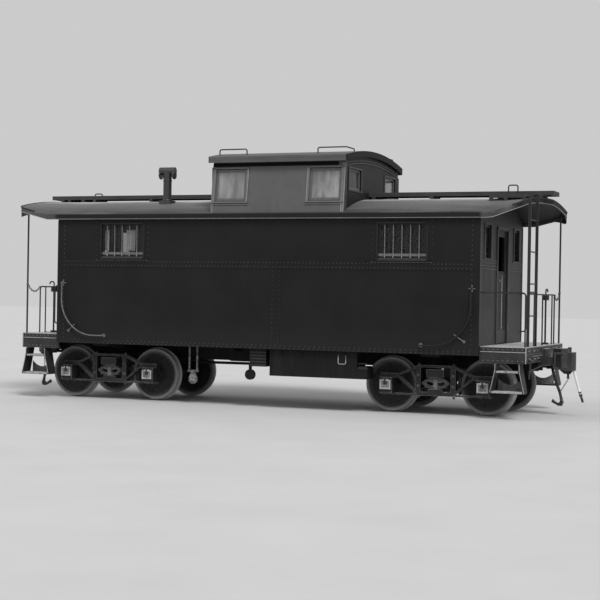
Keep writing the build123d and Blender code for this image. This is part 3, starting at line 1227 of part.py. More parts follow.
def wheelsets():
    """Axles with their wheels pressed on, the same four times."""
    face = BACK_TO_BACK / 2
    rim_out = face + RIM_WIDTH
    rim_in_radius = TREAD_RADIUS - RIM_DEPTH
    hub_in = face - HUB_INSET
    hub_out = hub_in + HUB_LENGTH
    plate_in = face + PLATE_AT_RIM
    plate_hub = face + PLATE_AT_HUB
    journal_in = JOURNAL_BOX_BACK_Y + COLLAR_LENGTH
    journal_out = journal_in + JOURNAL_LENGTH
    for i, x in enumerate([end * TRUCK_X + step * WHEELBASE / 2 for end in (1, -1) for step in (1, -1)]):
        centre = Axis((x, 0, AXLE_Z), (0, 1, 0))
        with BuildPart() as wheelset:
            with BuildSketch(Plane(origin=(x, 0, AXLE_Z))):
                with BuildLine():
                    Polyline(
                        (0, 0), (AXLE_RADIUS, 0), (WHEEL_SEAT_RADIUS, hub_in), (WHEEL_SEAT_RADIUS, hub_out),
                        (COLLAR_RADIUS, hub_out + JOURNAL_CLEARANCE), (COLLAR_RADIUS, JOURNAL_BOX_BACK_Y - SHOE_GAP),
                        (JOURNAL_RADIUS, JOURNAL_BOX_BACK_Y - SHOE_GAP), (JOURNAL_RADIUS, journal_out),
                        (0, journal_out), close=True,
                    )
                make_face()
            revolve(axis=centre)
            with BuildSketch(Plane(origin=(x, 0, AXLE_Z))):
                with BuildLine():
                    Polyline(
                        (WHEEL_SEAT_RADIUS, hub_in), (HUB_RADIUS, hub_in), (HUB_RADIUS + PLATE_THICK, plate_hub),
                        (rim_in_radius - PLATE_THICK, plate_in), (rim_in_radius, face + PLATE_THICK / 2),
                        (rim_in_radius, face), (TREAD_RADIUS + FLANGE_HEIGHT - FLANGE_THICK / 3, face),
                        (TREAD_RADIUS + FLANGE_HEIGHT, face + FLANGE_THICK / 3),
                        (TREAD_RADIUS + FLANGE_HEIGHT, face + FLANGE_THICK / 2),
                        (TREAD_RADIUS + FLANGE_THICK / 6, face + FLANGE_THICK), (TREAD_RADIUS, face + FLANGE_THICK * 1.4),
                        (TREAD_RADIUS - TREAD_CONE, rim_out), (rim_in_radius, rim_out),
                        (rim_in_radius, plate_in + PLATE_THICK * 2), (rim_in_radius - PLATE_THICK, plate_in + PLATE_THICK),
                        (HUB_RADIUS + PLATE_THICK, plate_hub + PLATE_THICK), (HUB_RADIUS, hub_out),
                        (WHEEL_SEAT_RADIUS, hub_out), close=True,
                    )
                make_face()
            revolve(axis=centre)
            mirror(about=Plane.XZ)
        save(wheelset, f"wheelset_{i + 1}")


def arch_bar(cx, points, thick, bend):
    """One bent flat bar of the truck's side frame, in the part that is being built."""
    with BuildSketch(side_view(cx, -(FRAME_Y - BAR_WIDTH / 2))) as bar:
        with BuildLine() as path:
            if bend > 0:
                FilletPolyline(*points, radius=bend)
            else:
                Polyline(*points)
        trace(line_width=thick)
    extrude(bar.sketch, amount=BAR_WIDTH)


def trucks():
    """The two arch-bar trucks without their wheelsets."""
    half = BAR_THICK / 2
    tie_top = TIE_BAR_Z + TIE_THICK
    low_bar_z = tie_top + half
    box_bar_z = BOX_TOP_Z + half
    top_box_z = box_bar_z + BAR_THICK
    plank_low = low_bar_z + half
    plank_top = plank_low + PLANK_THICK
    for end, cx in (("front", TRUCK_X), ("rear", -TRUCK_X)):
        with BuildPart() as frames:
            arch_bar(cx, [(-BAR_END, top_box_z), (-BAR_SHOULDER, top_box_z), (-TOP_BAR_WAIST, TOP_BAR_Z),
                          (TOP_BAR_WAIST, TOP_BAR_Z), (BAR_SHOULDER, top_box_z), (BAR_END, top_box_z)],
                     BAR_THICK, BAR_BEND)
            arch_bar(cx, [(-BAR_END, box_bar_z), (-BAR_SHOULDER, box_bar_z), (-LOW_BAR_WAIST, low_bar_z),
                          (LOW_BAR_WAIST, low_bar_z), (BAR_SHOULDER, box_bar_z), (BAR_END, box_bar_z)],
                     BAR_THICK, BAR_BEND)
            arch_bar(cx, [(-BAR_END, TIE_BAR_Z + TIE_THICK / 2), (BAR_END, TIE_BAR_Z + TIE_THICK / 2)], TIE_THICK, 0)
            for step in (-1, 1):
                column = sorted((cx + step * COLUMN_INNER, cx + step * COLUMN_OUTER))
                block(column, (-FRAME_Y - BAR_WIDTH / 2, -FRAME_Y + BAR_WIDTH / 2),
                      (low_bar_z, TOP_BAR_Z))
            mirror(about=Plane.XZ)
            block((cx - PLANK_LENGTH / 2, cx + PLANK_LENGTH / 2), (-FRAME_Y - BAR_WIDTH / 2, FRAME_Y + BAR_WIDTH / 2),
                  (plank_low, plank_top))
        save(frames, f"truck_frame_{end}")

        with BuildPart() as boxes:
            for step in (-1, 1):
                bx = cx + step * WHEELBASE / 2
                block((bx - JOURNAL_BOX_LENGTH / 2, bx + JOURNAL_BOX_LENGTH / 2),
                      (-JOURNAL_BOX_FRONT_Y, -JOURNAL_BOX_BACK_Y), (tie_top, BOX_TOP_Z))
                block((bx - LID_SIZE / 2, bx + LID_SIZE / 2), (-JOURNAL_BOX_FRONT_Y - LID_THICK, -JOURNAL_BOX_FRONT_Y),
                      (AXLE_Z - LID_SIZE / 2 + LID_THICK, AXLE_Z + LID_SIZE / 2 - LID_THICK / 2))
                with BuildSketch(side_view(bx, -JOURNAL_BOX_BACK_Y)):
                    with Locations((0, AXLE_Z)):
                        Circle(JOURNAL_RADIUS + JOURNAL_CLEARANCE)
                extrude(amount=COLLAR_LENGTH + JOURNAL_LENGTH + LID_THICK / 2, mode=Mode.SUBTRACT)
            mirror(about=Plane.XZ)
        save(boxes, f"journal_boxes_{end}")

        end_low = BOLSTER_TOP_Z - BOLSTER_END_DEPTH
        middle_low = BOLSTER_TOP_Z - BOLSTER_MIDDLE_DEPTH
        pivot_top = CENTRE_SILL_BOTTOM_Z - SILL_WEB - CENTRE_PLATE_THICK - PIVOT_GAP
        saddle_half = CENTRE_SILL_HALF_WIDTH * 2
        with BuildPart() as bolster:
            with BuildSketch(end_view(cx - BOLSTER_LENGTH / 2)):
                with BuildLine():
                    Polyline(
                        (-BOLSTER_HALF_WIDTH, end_low), (-FRAME_Y + BAR_WIDTH, end_low), (-saddle_half, middle_low),
                        (saddle_half, middle_low), (FRAME_Y - BAR_WIDTH, end_low), (BOLSTER_HALF_WIDTH, end_low),
                        (BOLSTER_HALF_WIDTH, BOLSTER_TOP_Z), (FRAME_Y - BAR_WIDTH, BOLSTER_TOP_Z),
                        (saddle_half, pivot_top - CENTRE_PLATE_THICK),
                        (-saddle_half, pivot_top - CENTRE_PLATE_THICK), (-FRAME_Y + BAR_WIDTH, BOLSTER_TOP_Z),
                        (-BOLSTER_HALF_WIDTH, BOLSTER_TOP_Z), close=True,
                    )
                make_face()
            extrude(amount=BOLSTER_LENGTH)
            with BuildSketch(Plane(origin=(cx, 0, pivot_top - CENTRE_PLATE_THICK))):
                Circle(CENTRE_PLATE_RADIUS)
            extrude(amount=CENTRE_PLATE_THICK)
        save(bolster, f"truck_bolster_{end}")

        middle = (plank_top + end_low) / 2
        rise = (end_low - plank_top) / 2
        with BuildPart() as springs:
            with BuildSketch(side_view(cx, -FRAME_Y + SPRING_WIDTH / 2)):
                with BuildLine():
                    ThreePointArc((-SPRING_LENGTH / 2, middle), (0, middle + rise), (SPRING_LENGTH / 2, middle))
                    ThreePointArc((SPRING_LENGTH / 2, middle), (0, middle - rise), (-SPRING_LENGTH / 2, middle))
                make_face()
                with BuildLine():
                    inner_half = SPRING_LENGTH / 2 - SPRING_LEAF * 1.6
                    ThreePointArc((-inner_half, middle), (0, middle + rise - SPRING_LEAF), (inner_half, middle))
                    ThreePointArc((inner_half, middle), (0, middle - rise + SPRING_LEAF), (-inner_half, middle))
                make_face(mode=Mode.SUBTRACT)
            extrude(amount=SPRING_WIDTH)
            mirror(about=Plane.XZ)
        save(springs, f"springs_{end}")

        shoe_near = BACK_TO_BACK / 2 + FLANGE_THICK + SHOE_GAP
        shoe_far = BACK_TO_BACK / 2 + RIM_WIDTH
        with BuildPart() as beams:
            for step in (-1, 1):
                wx = cx + step * WHEELBASE / 2
                shoe_radius = TREAD_RADIUS + SHOE_GAP
                shoe_mid = HALF_TURN if step > 0 else 0
                with BuildSketch(side_view(wx, -shoe_near)):
                    with BuildLine():
                        inner_arc = CenterArc((0, AXLE_Z), shoe_radius, shoe_mid - SHOE_ANGLE / 2, SHOE_ANGLE)
                        outer_arc = CenterArc((0, AXLE_Z), shoe_radius + SHOE_THICK, shoe_mid - SHOE_ANGLE / 2,
                                              SHOE_ANGLE)
                        Line(inner_arc @ 0, outer_arc @ 0)
                        Line(inner_arc @ 1, outer_arc @ 1)
                    make_face()
                extrude(amount=shoe_far - shoe_near)
                mirror(about=Plane.XZ)
                beam = sorted((wx - step * (shoe_radius + SHOE_THICK * 0.7), wx - step * (shoe_radius + SHOE_THICK * 1.6)))
                block(beam, (-shoe_far, shoe_far), (BEAM_Z - SHOE_THICK / 2, BEAM_Z + SHOE_THICK / 2))
                for y in (-BRAKE_HANGER_Y, BRAKE_HANGER_Y):
                    arm = sorted((cx + step * PLANK_LENGTH / 2, wx - step * (shoe_radius + SHOE_THICK)))
                    block(arm, (y - HANGER_THICK, y + HANGER_THICK), (BEAM_Z - SHOE_THICK / 4, BEAM_Z + SHOE_THICK / 4))
        save(beams, f"brake_beams_{end}")


underframe()
floor()
side_walls()
end_walls()
end_doors()
windows()
main_roof()
cupola()
roof_walk()
smoke_jack()
platforms()
steps()
end_railings()
ladders()
brake_staffs()
handrails()
cupola_grabs()
couplers()
equipment()
train_line()
hoses()
wheelsets()
trucks()
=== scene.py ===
import math
import random

import bmesh
import bpy
from mathutils import Matrix, Vector


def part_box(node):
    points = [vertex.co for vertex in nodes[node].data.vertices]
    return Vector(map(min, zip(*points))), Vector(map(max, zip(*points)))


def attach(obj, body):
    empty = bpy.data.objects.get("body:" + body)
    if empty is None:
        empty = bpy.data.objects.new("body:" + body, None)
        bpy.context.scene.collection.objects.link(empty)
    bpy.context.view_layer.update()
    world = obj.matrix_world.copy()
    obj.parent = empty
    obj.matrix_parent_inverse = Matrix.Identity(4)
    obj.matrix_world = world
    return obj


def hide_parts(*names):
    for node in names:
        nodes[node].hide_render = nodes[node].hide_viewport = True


# A steel railway caboose. Metres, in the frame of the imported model: X along the track, Y across it, Z up.

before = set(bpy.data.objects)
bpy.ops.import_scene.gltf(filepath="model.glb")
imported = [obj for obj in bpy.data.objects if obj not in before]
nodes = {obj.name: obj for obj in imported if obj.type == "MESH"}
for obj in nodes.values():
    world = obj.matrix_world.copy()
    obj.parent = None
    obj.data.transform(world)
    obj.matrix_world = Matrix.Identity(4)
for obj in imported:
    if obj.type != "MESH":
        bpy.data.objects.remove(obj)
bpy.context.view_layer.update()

# Sizes shared with the part's source
SIDE_Y = 1.475
CORNER_X = 3.946
DECK_Z = 1.182
TRUCK_X = 3.098
WHEELBASE = 1.676
AXLE_Z = 0.482
WINDOW_X = 2.620
WINDOW_HALF = 0.420
WINDOW_LOW_Z = 2.585
WINDOW_HIGH_Z = 3.175
PLATFORM_X = 4.711
PLATFORM_Y = 1.408
RAIL_X = 4.655
CUPOLA_X = (-0.880, 1.585)
CUPOLA_MIDDLE_X = 0.3525

# Camera, from the fit to the photograph
CAMERA_PLACE = (9.930, -23.991, 1.974)
CAMERA_YAW = 0.3844
CAMERA_PITCH = -0.0039
CAMERA_ROLL = 0.0170
FOCAL_PIXELS = 1431.5
PHOTO_PIXELS = 600
SENSOR = 36.0

# Light
WORLD_LEVEL = 0.50
SKY_LEVEL = 0.60
FLOOR_HALF = 120.0

# Both ways along an axis, directions, and the depths by which trim is let into the face under it
BOTH = (-1, 1)
AHEAD, UP, DOWN = (1, 0, 0), (0, 0, 1), (0, 0, -1)
INSET = 0.002
SLIGHT = 0.001

# --- Materials ---

CUPOLA_FOOT = (3.40, 3.45)
WEAR_WIDTH = 0.005


class Nodes:
    """A node tree, with short calls for making its nodes."""

    def __init__(self, tree):
        self.tree = tree

    def node(self, kind, inputs=(), **settings):
        made = self.tree.nodes.new("ShaderNode" + kind)
        for key, value in settings.items():
            setattr(made, key, value)
        for key, value in dict(inputs).items():
            self.feed(made.inputs[key], value)
        return made

    def feed(self, socket, value):
        """Links an output to the socket, or sets the socket's value. In a color one number is a gray."""
        if isinstance(value, bpy.types.NodeSocket):
            self.tree.links.new(value, socket)
        elif socket.type == "RGBA":
            socket.default_value = (value, value, value, 1.0)
        else:
            socket.default_value = value

    def math(self, operation, a, b=0.0, clamp=False):
        return self.node("Math", {0: a, 1: b}, operation=operation, use_clamp=clamp).outputs[0]


class Graph(Nodes):
    """A material's node tree, with short calls for the patterns that are used here."""

    def __init__(self, name):
        self.material = bpy.data.materials.new(name)
        self.material.use_nodes = True
        super().__init__(self.material.node_tree)
        self.shader = self.tree.nodes["Principled BSDF"]
        self.place = self.node("TexCoord").outputs["Object"]

    def times(self, a, b, clamp=False):
        return self.math("MULTIPLY", a, b, clamp)

    def plus(self, a, b, clamp=False):
        return self.math("ADD", a, b, clamp)

    def minus(self, a, b):
        return self.math("SUBTRACT", a, b)

    def reach(self, value):
        return self.math("ABSOLUTE", value)

    def span(self, value, low, high, to_low=0.0, to_high=1.0):
        inputs = {"Value": value, "From Min": low, "From Max": high, "To Min": to_low, "To Max": to_high}
        return self.node("MapRange", inputs).outputs["Result"]

    def noise(self, scale, detail=4.0, stretch=(1.0, 1.0, 1.0), roughness=0.55):
        mapping = self.node("Mapping", {"Vector": self.place, "Scale": stretch})
        inputs = {"Vector": mapping.outputs[0], "Scale": scale, "Detail": detail, "Roughness": roughness}
        return self.node("TexNoise", inputs).outputs["Fac"]

    def mix(self, factor, a, b):
        return self.node("Mix", {0: factor, 6: a, 7: b}, data_type="RGBA").outputs[2]

    def part(self, vector, name):
        return self.node("SeparateXYZ", {0: vector}).outputs[name]

    def axis(self, name):
        return self.part(self.place, name)

    def facing(self, name):
        return self.part(self.node("NewGeometry").outputs["Normal"], name)

    def edges(self, radius):
        """High along the piece's edges, where paint wears, and where some materials paint a highlight on lit
        edges.
        """
        rounded = self.node("Bevel", {"Radius": radius}, samples=4).outputs["Normal"]
        true = self.node("NewGeometry").outputs["Normal"]
        dot = self.node("VectorMath", {0: rounded, 1: true}, operation="DOT_PRODUCT")
        return self.span(self.minus(1.0, dot.outputs["Value"]), 0.02, 0.25)

    def bump(self, height, strength, distance):
        made = self.node("Bump", {"Strength": strength, "Distance": distance, "Height": height})
        self.feed(self.shader.inputs["Normal"], made.outputs[0])

    def set(self, color, roughness, specular=0.5):
        for key, value in (("Base Color", color), ("Roughness", roughness), ("Specular IOR Level", specular)):
            self.feed(self.shader.inputs[key], value)
        return self.material


def paint(name, base, dust, dust_top=0.0, gloss=0.42, wave=0.25, streak=0.35, edge=0.0, edge_color=0.3,
          specular=0.5):
    """Old paint: cloudy tone, vertical streaks, road dust from below, fine unevenness and worn edges."""
    g = Graph(name)
    cloud = g.noise(1.4, 5.0)
    fine = g.noise(38.0, 6.0)
    streaks = g.noise(3.2, 5.0, (3.0, 3.0, 0.22))
    tone = g.mix(g.span(cloud, 0.35, 0.7), base * 0.82, base * 1.25)
    tone = g.mix(g.times(g.span(streaks, 0.52, 0.72), streak, True), tone, dust * 0.8)
    if dust_top > 0:
        low = g.span(g.plus(g.axis("Z"), g.times(cloud, 0.5)), dust_top + 0.25, dust_top - 0.55)
        tone = g.mix(g.times(low, g.span(fine, 0.3, 0.75, 0.15, 0.75)), tone, dust)
    if edge > 0:
        wear = g.times(g.edges(0.006), g.span(fine, 0.35, 0.6), True)
        tone = g.mix(g.times(wear, edge, True), tone, edge_color)
    rough = g.span(g.plus(fine, g.times(cloud, 0.6)), 0.4, 1.1, gloss, gloss + 0.24)
    g.bump(g.plus(g.times(g.noise(2.1, 2.0), 4.0), g.times(fine, 0.12)), wave, 0.004)
    return g.set(tone, rough, specular)


def dusty_iron_with_painted_light(name, base, dust, wear):
    """Black iron under road dust, blotched and pitted: paler on top faces, with dust and painted light from above,
    and on edges, with wear and a painted highlight.
    """
    g = Graph(name)
    blotch = g.noise(9.0, 6.0)
    pits = g.noise(70.0)
    # Paler top faces and edges: dust and wear, with painted light from above and painted highlights on the edges
    dust_and_top_light = g.times(g.span(g.facing("Z"), 0.2, 0.9), g.span(pits, 0.3, 0.6, 0.45, 0.95), True)
    edge_wear_and_highlight = g.times(g.edges(0.010), g.span(blotch, 0.3, 0.55), True)
    tone = g.mix(g.span(blotch, 0.35, 0.68), base * 0.7, base * 1.5)
    tone = g.mix(edge_wear_and_highlight, g.mix(dust_and_top_light, tone, dust), wear)
    g.bump(g.plus(pits, g.times(blotch, 1.5)), 0.5, 0.003)
    return g.set(tone, g.span(pits, 0.3, 0.7, 0.52, 0.80))


def wheel_steel(name, centre_x):
    """A wheel seen from outside: a bright worn rim, a dark oily plate and a ring of dust between them."""
    g = Graph(name)
    across = g.minus(g.axis("X"), centre_x)
    up = g.minus(g.axis("Z"), AXLE_Z)
    radius = g.math("SQRT", g.plus(g.times(across, across), g.times(up, up)))
    grit = g.noise(22.0, 6.0)
    fine = g.noise(90.0)
    wobble = g.plus(radius, g.times(g.minus(grit, 0.5), 0.05))
    rim = g.times(g.span(radius, 0.405, 0.43), g.span(fine, 0.3, 0.6, 0.35, 1.0))
    tread = g.times(g.span(radius, 0.449, 0.456), g.span(fine, 0.25, 0.5, 0.7, 1.0))
    tone = g.mix(g.span(grit, 0.35, 0.65), 0.009, 0.030)
    tone = g.mix(g.span(wobble, 0.34, 0.40), tone, 0.10)
    tone = g.mix(tread, g.mix(rim, tone, 0.24), 0.32)
    g.bump(g.plus(fine, g.times(grit, 2.0)), 0.35, 0.002)
    return g.set(tone, g.span(radius, 0.44, 0.455, 0.62, 0.38), 0.25)


def planks(name, dark, light):
    """Weathered boards with grain along X."""
    g = Graph(name)
    grain = g.noise(5.0, 8.0, (0.5, 14.0, 14.0), 0.7)
    cloud = g.noise(2.0, 3.0)
    tone = g.mix(g.span(grain, 0.3, 0.7), dark, light)
    tone = g.mix(g.span(cloud, 0.45, 0.75, 0.0, 0.5), tone, dark * 0.7)
    g.bump(grain, 0.6, 0.004)
    return g.set(tone, g.span(grain, 0.3, 0.7, 0.85, 0.7))


def cloth(name, level):
    """Plain cotton, with its weave as bump and soft staining."""
    g = Graph(name)
    thread = {"Vector": g.place, "Scale": 160.0}
    waves = [g.node("TexWave", thread, bands_direction=way).outputs["Fac"] for way in ("X", "Z")]
    stain = g.noise(5.0)
    g.bump(g.plus(*waves), 0.25, 0.001)
    g.shader.inputs["Sheen Weight"].default_value = 0.2
    return g.set(g.mix(g.span(stain, 0.35, 0.7), level, level * 0.75), 0.9)


def rubber(name, level):
    """Black rubber with pale scuffs."""
    g = Graph(name)
    scuff = g.noise(30.0, 6.0)
    g.bump(g.noise(120.0, 3.0), 0.3, 0.001)
    return g.set(g.mix(g.span(scuff, 0.4, 0.7), level, level * 3.0), g.span(scuff, 0.3, 0.7, 0.55, 0.8))


def roof_paint(name):
    """Gray roof paint, smeared, lighter towards the crown as a painted highlight where it faces the sky, with a
    dark band along the eave over the body, painted shade on the rims at the ends and black underneath as painted
    shade.
    """
    g = Graph(name)
    z = g.axis("Z")
    along = g.reach(g.axis("X"))
    cloud = g.noise(1.1, 5.0)
    smears = g.noise(2.4, 6.0, (0.35, 3.0, 3.0))
    fine = g.noise(34.0, 6.0)
    # The main roof, from its eave to its crown: lighter towards the top and palest at the crown, a painted
    # highlight where the roof faces the sky
    height = g.plus(z, g.times(g.minus(cloud, 0.5), 0.10))
    tone = g.mix(g.span(height, 3.36, 3.58), 0.050, 0.16)
    tone = g.mix(g.times(g.span(smears, 0.50, 0.72), 0.40), tone, 0.22)
    tone = g.mix(g.span(height, 3.59, 3.65), tone, 0.50)
    tone = g.mix(g.times(g.span(fine, 0.5, 0.8), 0.25), tone, 0.07)
    # The cupola's eaves and roof
    tone = g.mix(g.span(z, 3.7, 3.8), tone, g.mix(g.span(smears, 0.40, 0.7), 0.075, 0.12))
    tone = g.mix(g.span(z, 4.30, 4.42), tone, 0.15)
    # A dark band along the eave over the body, stopping at the body's ends
    eave_darkening = g.span(g.plus(z, g.times(g.minus(fine, 0.5), 0.03)), 3.362, 3.340)
    tone = g.mix(g.times(g.span(along, 3.99, 3.93), eave_darkening, True), tone, 0.014)
    # Painted shade: dark rims on the faces that look along X at the ends of the cupola's roof and of the hoods,
    # and the black underneath on the faces that look down
    rims = g.plus(g.span(z, 4.10, 4.15), g.span(along, 4.4, 4.5), True)
    tone = g.mix(g.times(g.span(g.reach(g.facing("X")), 0.4, 0.7), rims), tone, 0.016)
    under = g.times(g.span(g.facing("Z"), -0.15, -0.4), g.span(fine, 0.2, 0.8, 1.0, 0.85), True)
    tone = g.mix(under, tone, 0.007)
    g.bump(g.plus(g.times(g.noise(1.7, 2.0), 3.0), g.times(fine, 0.15)), 0.35, 0.004)
    return g.set(tone, g.span(fine, 0.3, 0.8, 0.55, 0.8), 0.15)


def cast_iron(name, low, high):
    """Dusty pale castings, blotched with oil."""
    g = Graph(name)
    blotch = g.noise(26.0, 6.0)
    oil = g.noise(9.0)
    tone = g.mix(g.span(blotch, 0.3, 0.7), low, high)
    tone = g.mix(g.times(g.span(oil, 0.5, 0.7), 0.75), tone, low * 0.25)
    tone = g.mix(g.edges(WEAR_WIDTH), tone, high * 1.2)
    g.bump(blotch, 0.4, 0.002)
    return g.set(tone, g.span(blotch, 0.3, 0.7, 0.5, 0.8))


def pane_glass(name):
    """Old window glass with a thin film; the cupola's near side windows are paler and less clear, a painted
    reflection of the sky.
    """
    g = Graph(name)
    film = g.noise(1.6, 3.0, (3.0, 3.0, 0.8))
    # The cupola's near side windows get a painted sky reflection: a pale tone and less clearness
    upper = g.span(g.axis("Z"), *CUPOLA_FOOT)
    near = g.span(g.axis("Y"), 0.05, -0.05)
    from_middle = g.reach(g.minus(g.axis("X"), CUPOLA_MIDDLE_X))
    sky_reflection_pane = g.times(g.times(upper, near), g.span(from_middle, 1.20, 1.18), True)
    tone = g.mix(sky_reflection_pane, 0.040, g.mix(g.span(film, 0.38, 0.62), 0.20, 0.36))
    g.feed(g.shader.inputs["Alpha"], g.plus(g.span(film, 0.3, 0.7, 0.22, 0.34), g.times(sky_reflection_pane, 0.50)))
    return g.set(tone, g.mix(sky_reflection_pane, 0.05, 0.25))


def guard_iron(name):
    """Window bars with pale worn paint, darker at their fixings."""
    g = Graph(name)
    z = g.axis("Z")
    chips = g.noise(60.0, 5.0)
    tone = g.mix(g.span(chips, 0.4, 0.65), 0.10, 0.19)
    for low, high, level in ((2.72, 2.62, 0.24), (2.604, 2.598, 0.030), (3.12, 3.165, 0.012)):
        tone = g.mix(g.span(z, low, high), tone, level)
    g.bump(chips, 0.3, 0.001)
    return g.set(tone, 0.5, 0.3)


def handrail_iron(name):
    """Round iron handrails: black at the front end, and pale at the rear one, a painted sun glint."""
    g = Graph(name)
    chips = g.noise(40.0, 5.0)
    black = g.mix(g.span(chips, 0.4, 0.7), 0.006, 0.018)
    # The rear handrail's pale tone is a painted glint of sunlight
    worn = g.mix(g.span(chips, 0.35, 0.65), 0.07, 0.20)
    g.bump(chips, 0.2, 0.001)
    return g.set(g.mix(g.span(g.axis("X"), 0.5, -0.5), black, worn), g.span(chips, 0.3, 0.7, 0.35, 0.55), 0.3)


def sash_paint(name):
    """Window sashes: black in the body, gray in the cupola, with chipped arrises."""
    g = Graph(name)
    chips = g.noise(50.0, 5.0)
    upper = g.span(g.axis("Z"), *CUPOLA_FOOT)
    tone = g.mix(upper, 0.010, g.mix(g.span(chips, 0.35, 0.65), 0.095, 0.14))
    wear = g.times(g.edges(WEAR_WIDTH), g.span(chips, 0.35, 0.6), True)
    tone = g.mix(wear, tone, g.mix(upper, 0.06, 0.28))
    g.bump(chips, 0.2, 0.001)
    return g.set(tone, 0.5, 0.3)


BODY = paint("body_black", 0.0085, 0.030, dust_top=1.45, gloss=0.40, wave=0.3, streak=0.08, specular=0.2)
RIVET = paint("rivet_heads", 0.022, 0.07, gloss=0.32, streak=0.8)
# Pale eave moulding: its pale tone is a painted highlight, the moulding's top lit from above
EAVE = paint("eave_trim_painted_highlight", 0.12, 0.24, gloss=0.5, streak=0.7)
ROOF_TRIM = paint("roof_trim_dark", 0.012, 0.05, gloss=0.5, streak=0.4)
HANDRAIL_FOOT = cast_iron("handrail_foot", 0.06, 0.18)
HARDWARE = cast_iron("door_hardware", 0.10, 0.24)
END_TRIM = paint("end_trim", 0.040, 0.13, gloss=0.4, streak=0.5, edge=0.8, edge_color=0.26, specular=0.3)
PLATE_RIVET = cast_iron("platform_rivets", 0.08, 0.26)
# Pale drip edges and beads: a painted highlight along thin lit edges
DRIP_HIGHLIGHT = paint("drip_edge", 0.30, 0.42, gloss=0.5, streak=0.5)
ROOF = roof_paint("roof_gray")
CUPOLA = paint("cupola_gray", 0.085, 0.13)
CUPOLA_END = paint("cupola_end_dark", 0.009, 0.03, gloss=0.4, streak=0.6, specular=0.2)
CUPOLA_END_TRIM = paint("cupola_end_trim", 0.035, 0.12, gloss=0.4, streak=0.6, edge=0.7, edge_color=0.3)
# A black band under the cupola's roof: trim, and painted shadow from the roof's eave
TRIM_AND_PAINTED_SHADOW = paint("trim_and_painted_shadow_black", 0.006, 0.012, gloss=0.6, specular=0.1)
CUPOLA_TRIM = paint("cupola_trim", 0.13, 0.20, streak=0.4, edge=0.5, edge_color=0.26)
SLAT = paint("slat_iron", 0.022, 0.07, gloss=0.5, streak=0.4, edge=0.4, edge_color=0.14, specular=0.3)
SASH = sash_paint("sash_paint")
SASH_PALE = paint("sash_pale", 0.13, 0.20, gloss=0.5, streak=0.6)
DOOR = paint("door_black", 0.008, 0.035, dust_top=1.75, gloss=0.4, streak=0.5, edge=0.5, edge_color=0.18,
             specular=0.2)
END_WALL = paint("end_wall_black", 0.013, 0.060, dust_top=1.9, wave=0.3, streak=0.8, specular=0.3)
BAR_IRON = paint("bar_iron_black", 0.010, 0.07, gloss=0.38, streak=0.4, edge=0.25, edge_color=0.10)
HANDRAIL = handrail_iron("handrail_iron")
JACK = paint("jack_iron", 0.022, 0.08, gloss=0.26, streak=0.5, edge=0.3, edge_color=0.2, specular=0.7)
CHAIN = cast_iron("chain_iron", 0.05, 0.14)
BAR_LIGHT = guard_iron("bar_iron_worn")
UNDER = paint("underframe_black", 0.007, 0.030, dust_top=1.15, gloss=0.6, streak=0.4, specular=0.2)
TRAP = cast_iron("trap_iron", 0.035, 0.32)
BOX_PAINT = paint("box_black", 0.006, 0.030, dust_top=0.80, gloss=0.45, streak=0.4, edge=0.5, edge_color=0.08,
                  specular=0.2)
DECK = dusty_iron_with_painted_light("deck_plate", 0.018, 0.66, 0.20)
# Pale iron for edges, nosings, beads, rods and handles: wear, and a painted highlight where light catches the
# edges
EDGE = cast_iron("pale_wear_and_edge_highlight", 0.24, 0.44)
STEP_IRON = dusty_iron_with_painted_light("step_iron", 0.018, 0.34, 0.20)
APRON = cast_iron("step_plate", 0.06, 0.20)
TRUCK = dusty_iron_with_painted_light("truck_iron", 0.011, 0.30, 0.40)
LID = cast_iron("lid_iron", 0.30, 0.52)
LID_PANEL = cast_iron("lid_panel", 0.10, 0.30)
LID_DARK = cast_iron("lid_recess", 0.010, 0.035)
SPRING = dusty_iron_with_painted_light("spring_steel", 0.045, 0.34, 0.34)
COUPLER = dusty_iron_with_painted_light("coupler_steel", 0.028, 0.28, 0.24)
BRAKE = dusty_iron_with_painted_light("brake_iron", 0.045, 0.36, 0.34)
WALK = planks("walk_boards", 0.020, 0.060)
CABIN_FLOOR = planks("cabin_floor_boards", 0.05, 0.12)
GLASS = pane_glass("window_glass")
CURTAIN = cloth("curtain_cotton", 0.86)
HOSE = rubber("hose_rubber", 0.035)
CANVAS = cloth("hose_canvas", 0.92)
STRAP = cast_iron("strap_pale", 0.55, 0.75)


def ends(*names):
    return [f"{name}_{end}" for name in names for end in ("front", "rear")]


DRESS = {
    BODY: ["side_wall_near", "side_wall_far"],
    END_WALL: ends("end_wall"),
    DOOR: ends("door"),
    ROOF: ["cupola_eaves", "cupola_roof", *ends("roof")],
    CUPOLA: ["cupola_sides"],
    CUPOLA_END: ["cupola_ends"],
    SASH: ["window_sashes"],
    BAR_LIGHT: ["window_guards"],
    GLASS: ["window_panes"],
    BAR_IRON: ["end_railings", "roof_ladders", "brake_staffs", "roof_grab_irons", "uncoupling_levers"],
    HANDRAIL: ["side_handrails"],
    JACK: ["smoke_jack"],
    WALK: ["roof_walks"],
    CABIN_FLOOR: ["cabin_floor"],
    DECK: ["platforms"],
    STEP_IRON: ["platform_steps"],
    UNDER: ["centre_sill", "side_sills", "cross_bearers", "air_tanks", "train_line"],
    TRAP: ["drain_trap"],
    BOX_PAINT: ["underfloor_boxes"],
    TRUCK: ends("truck_frame", "truck_bolster", "journal_boxes"),
    BRAKE: ends("brake_beams"),
    SPRING: ends("springs"),
    COUPLER: ["couplers", "canvas_hose_nozzle", *ends("glad_hand")],
}
axles = [truck * TRUCK_X + way * WHEELBASE / 2 for truck in (1, -1) for way in (1, -1)]
for number, centre in enumerate(axles, 1):
    DRESS[wheel_steel(f"wheel_steel_{number}", centre)] = [f"wheelset_{number}"]
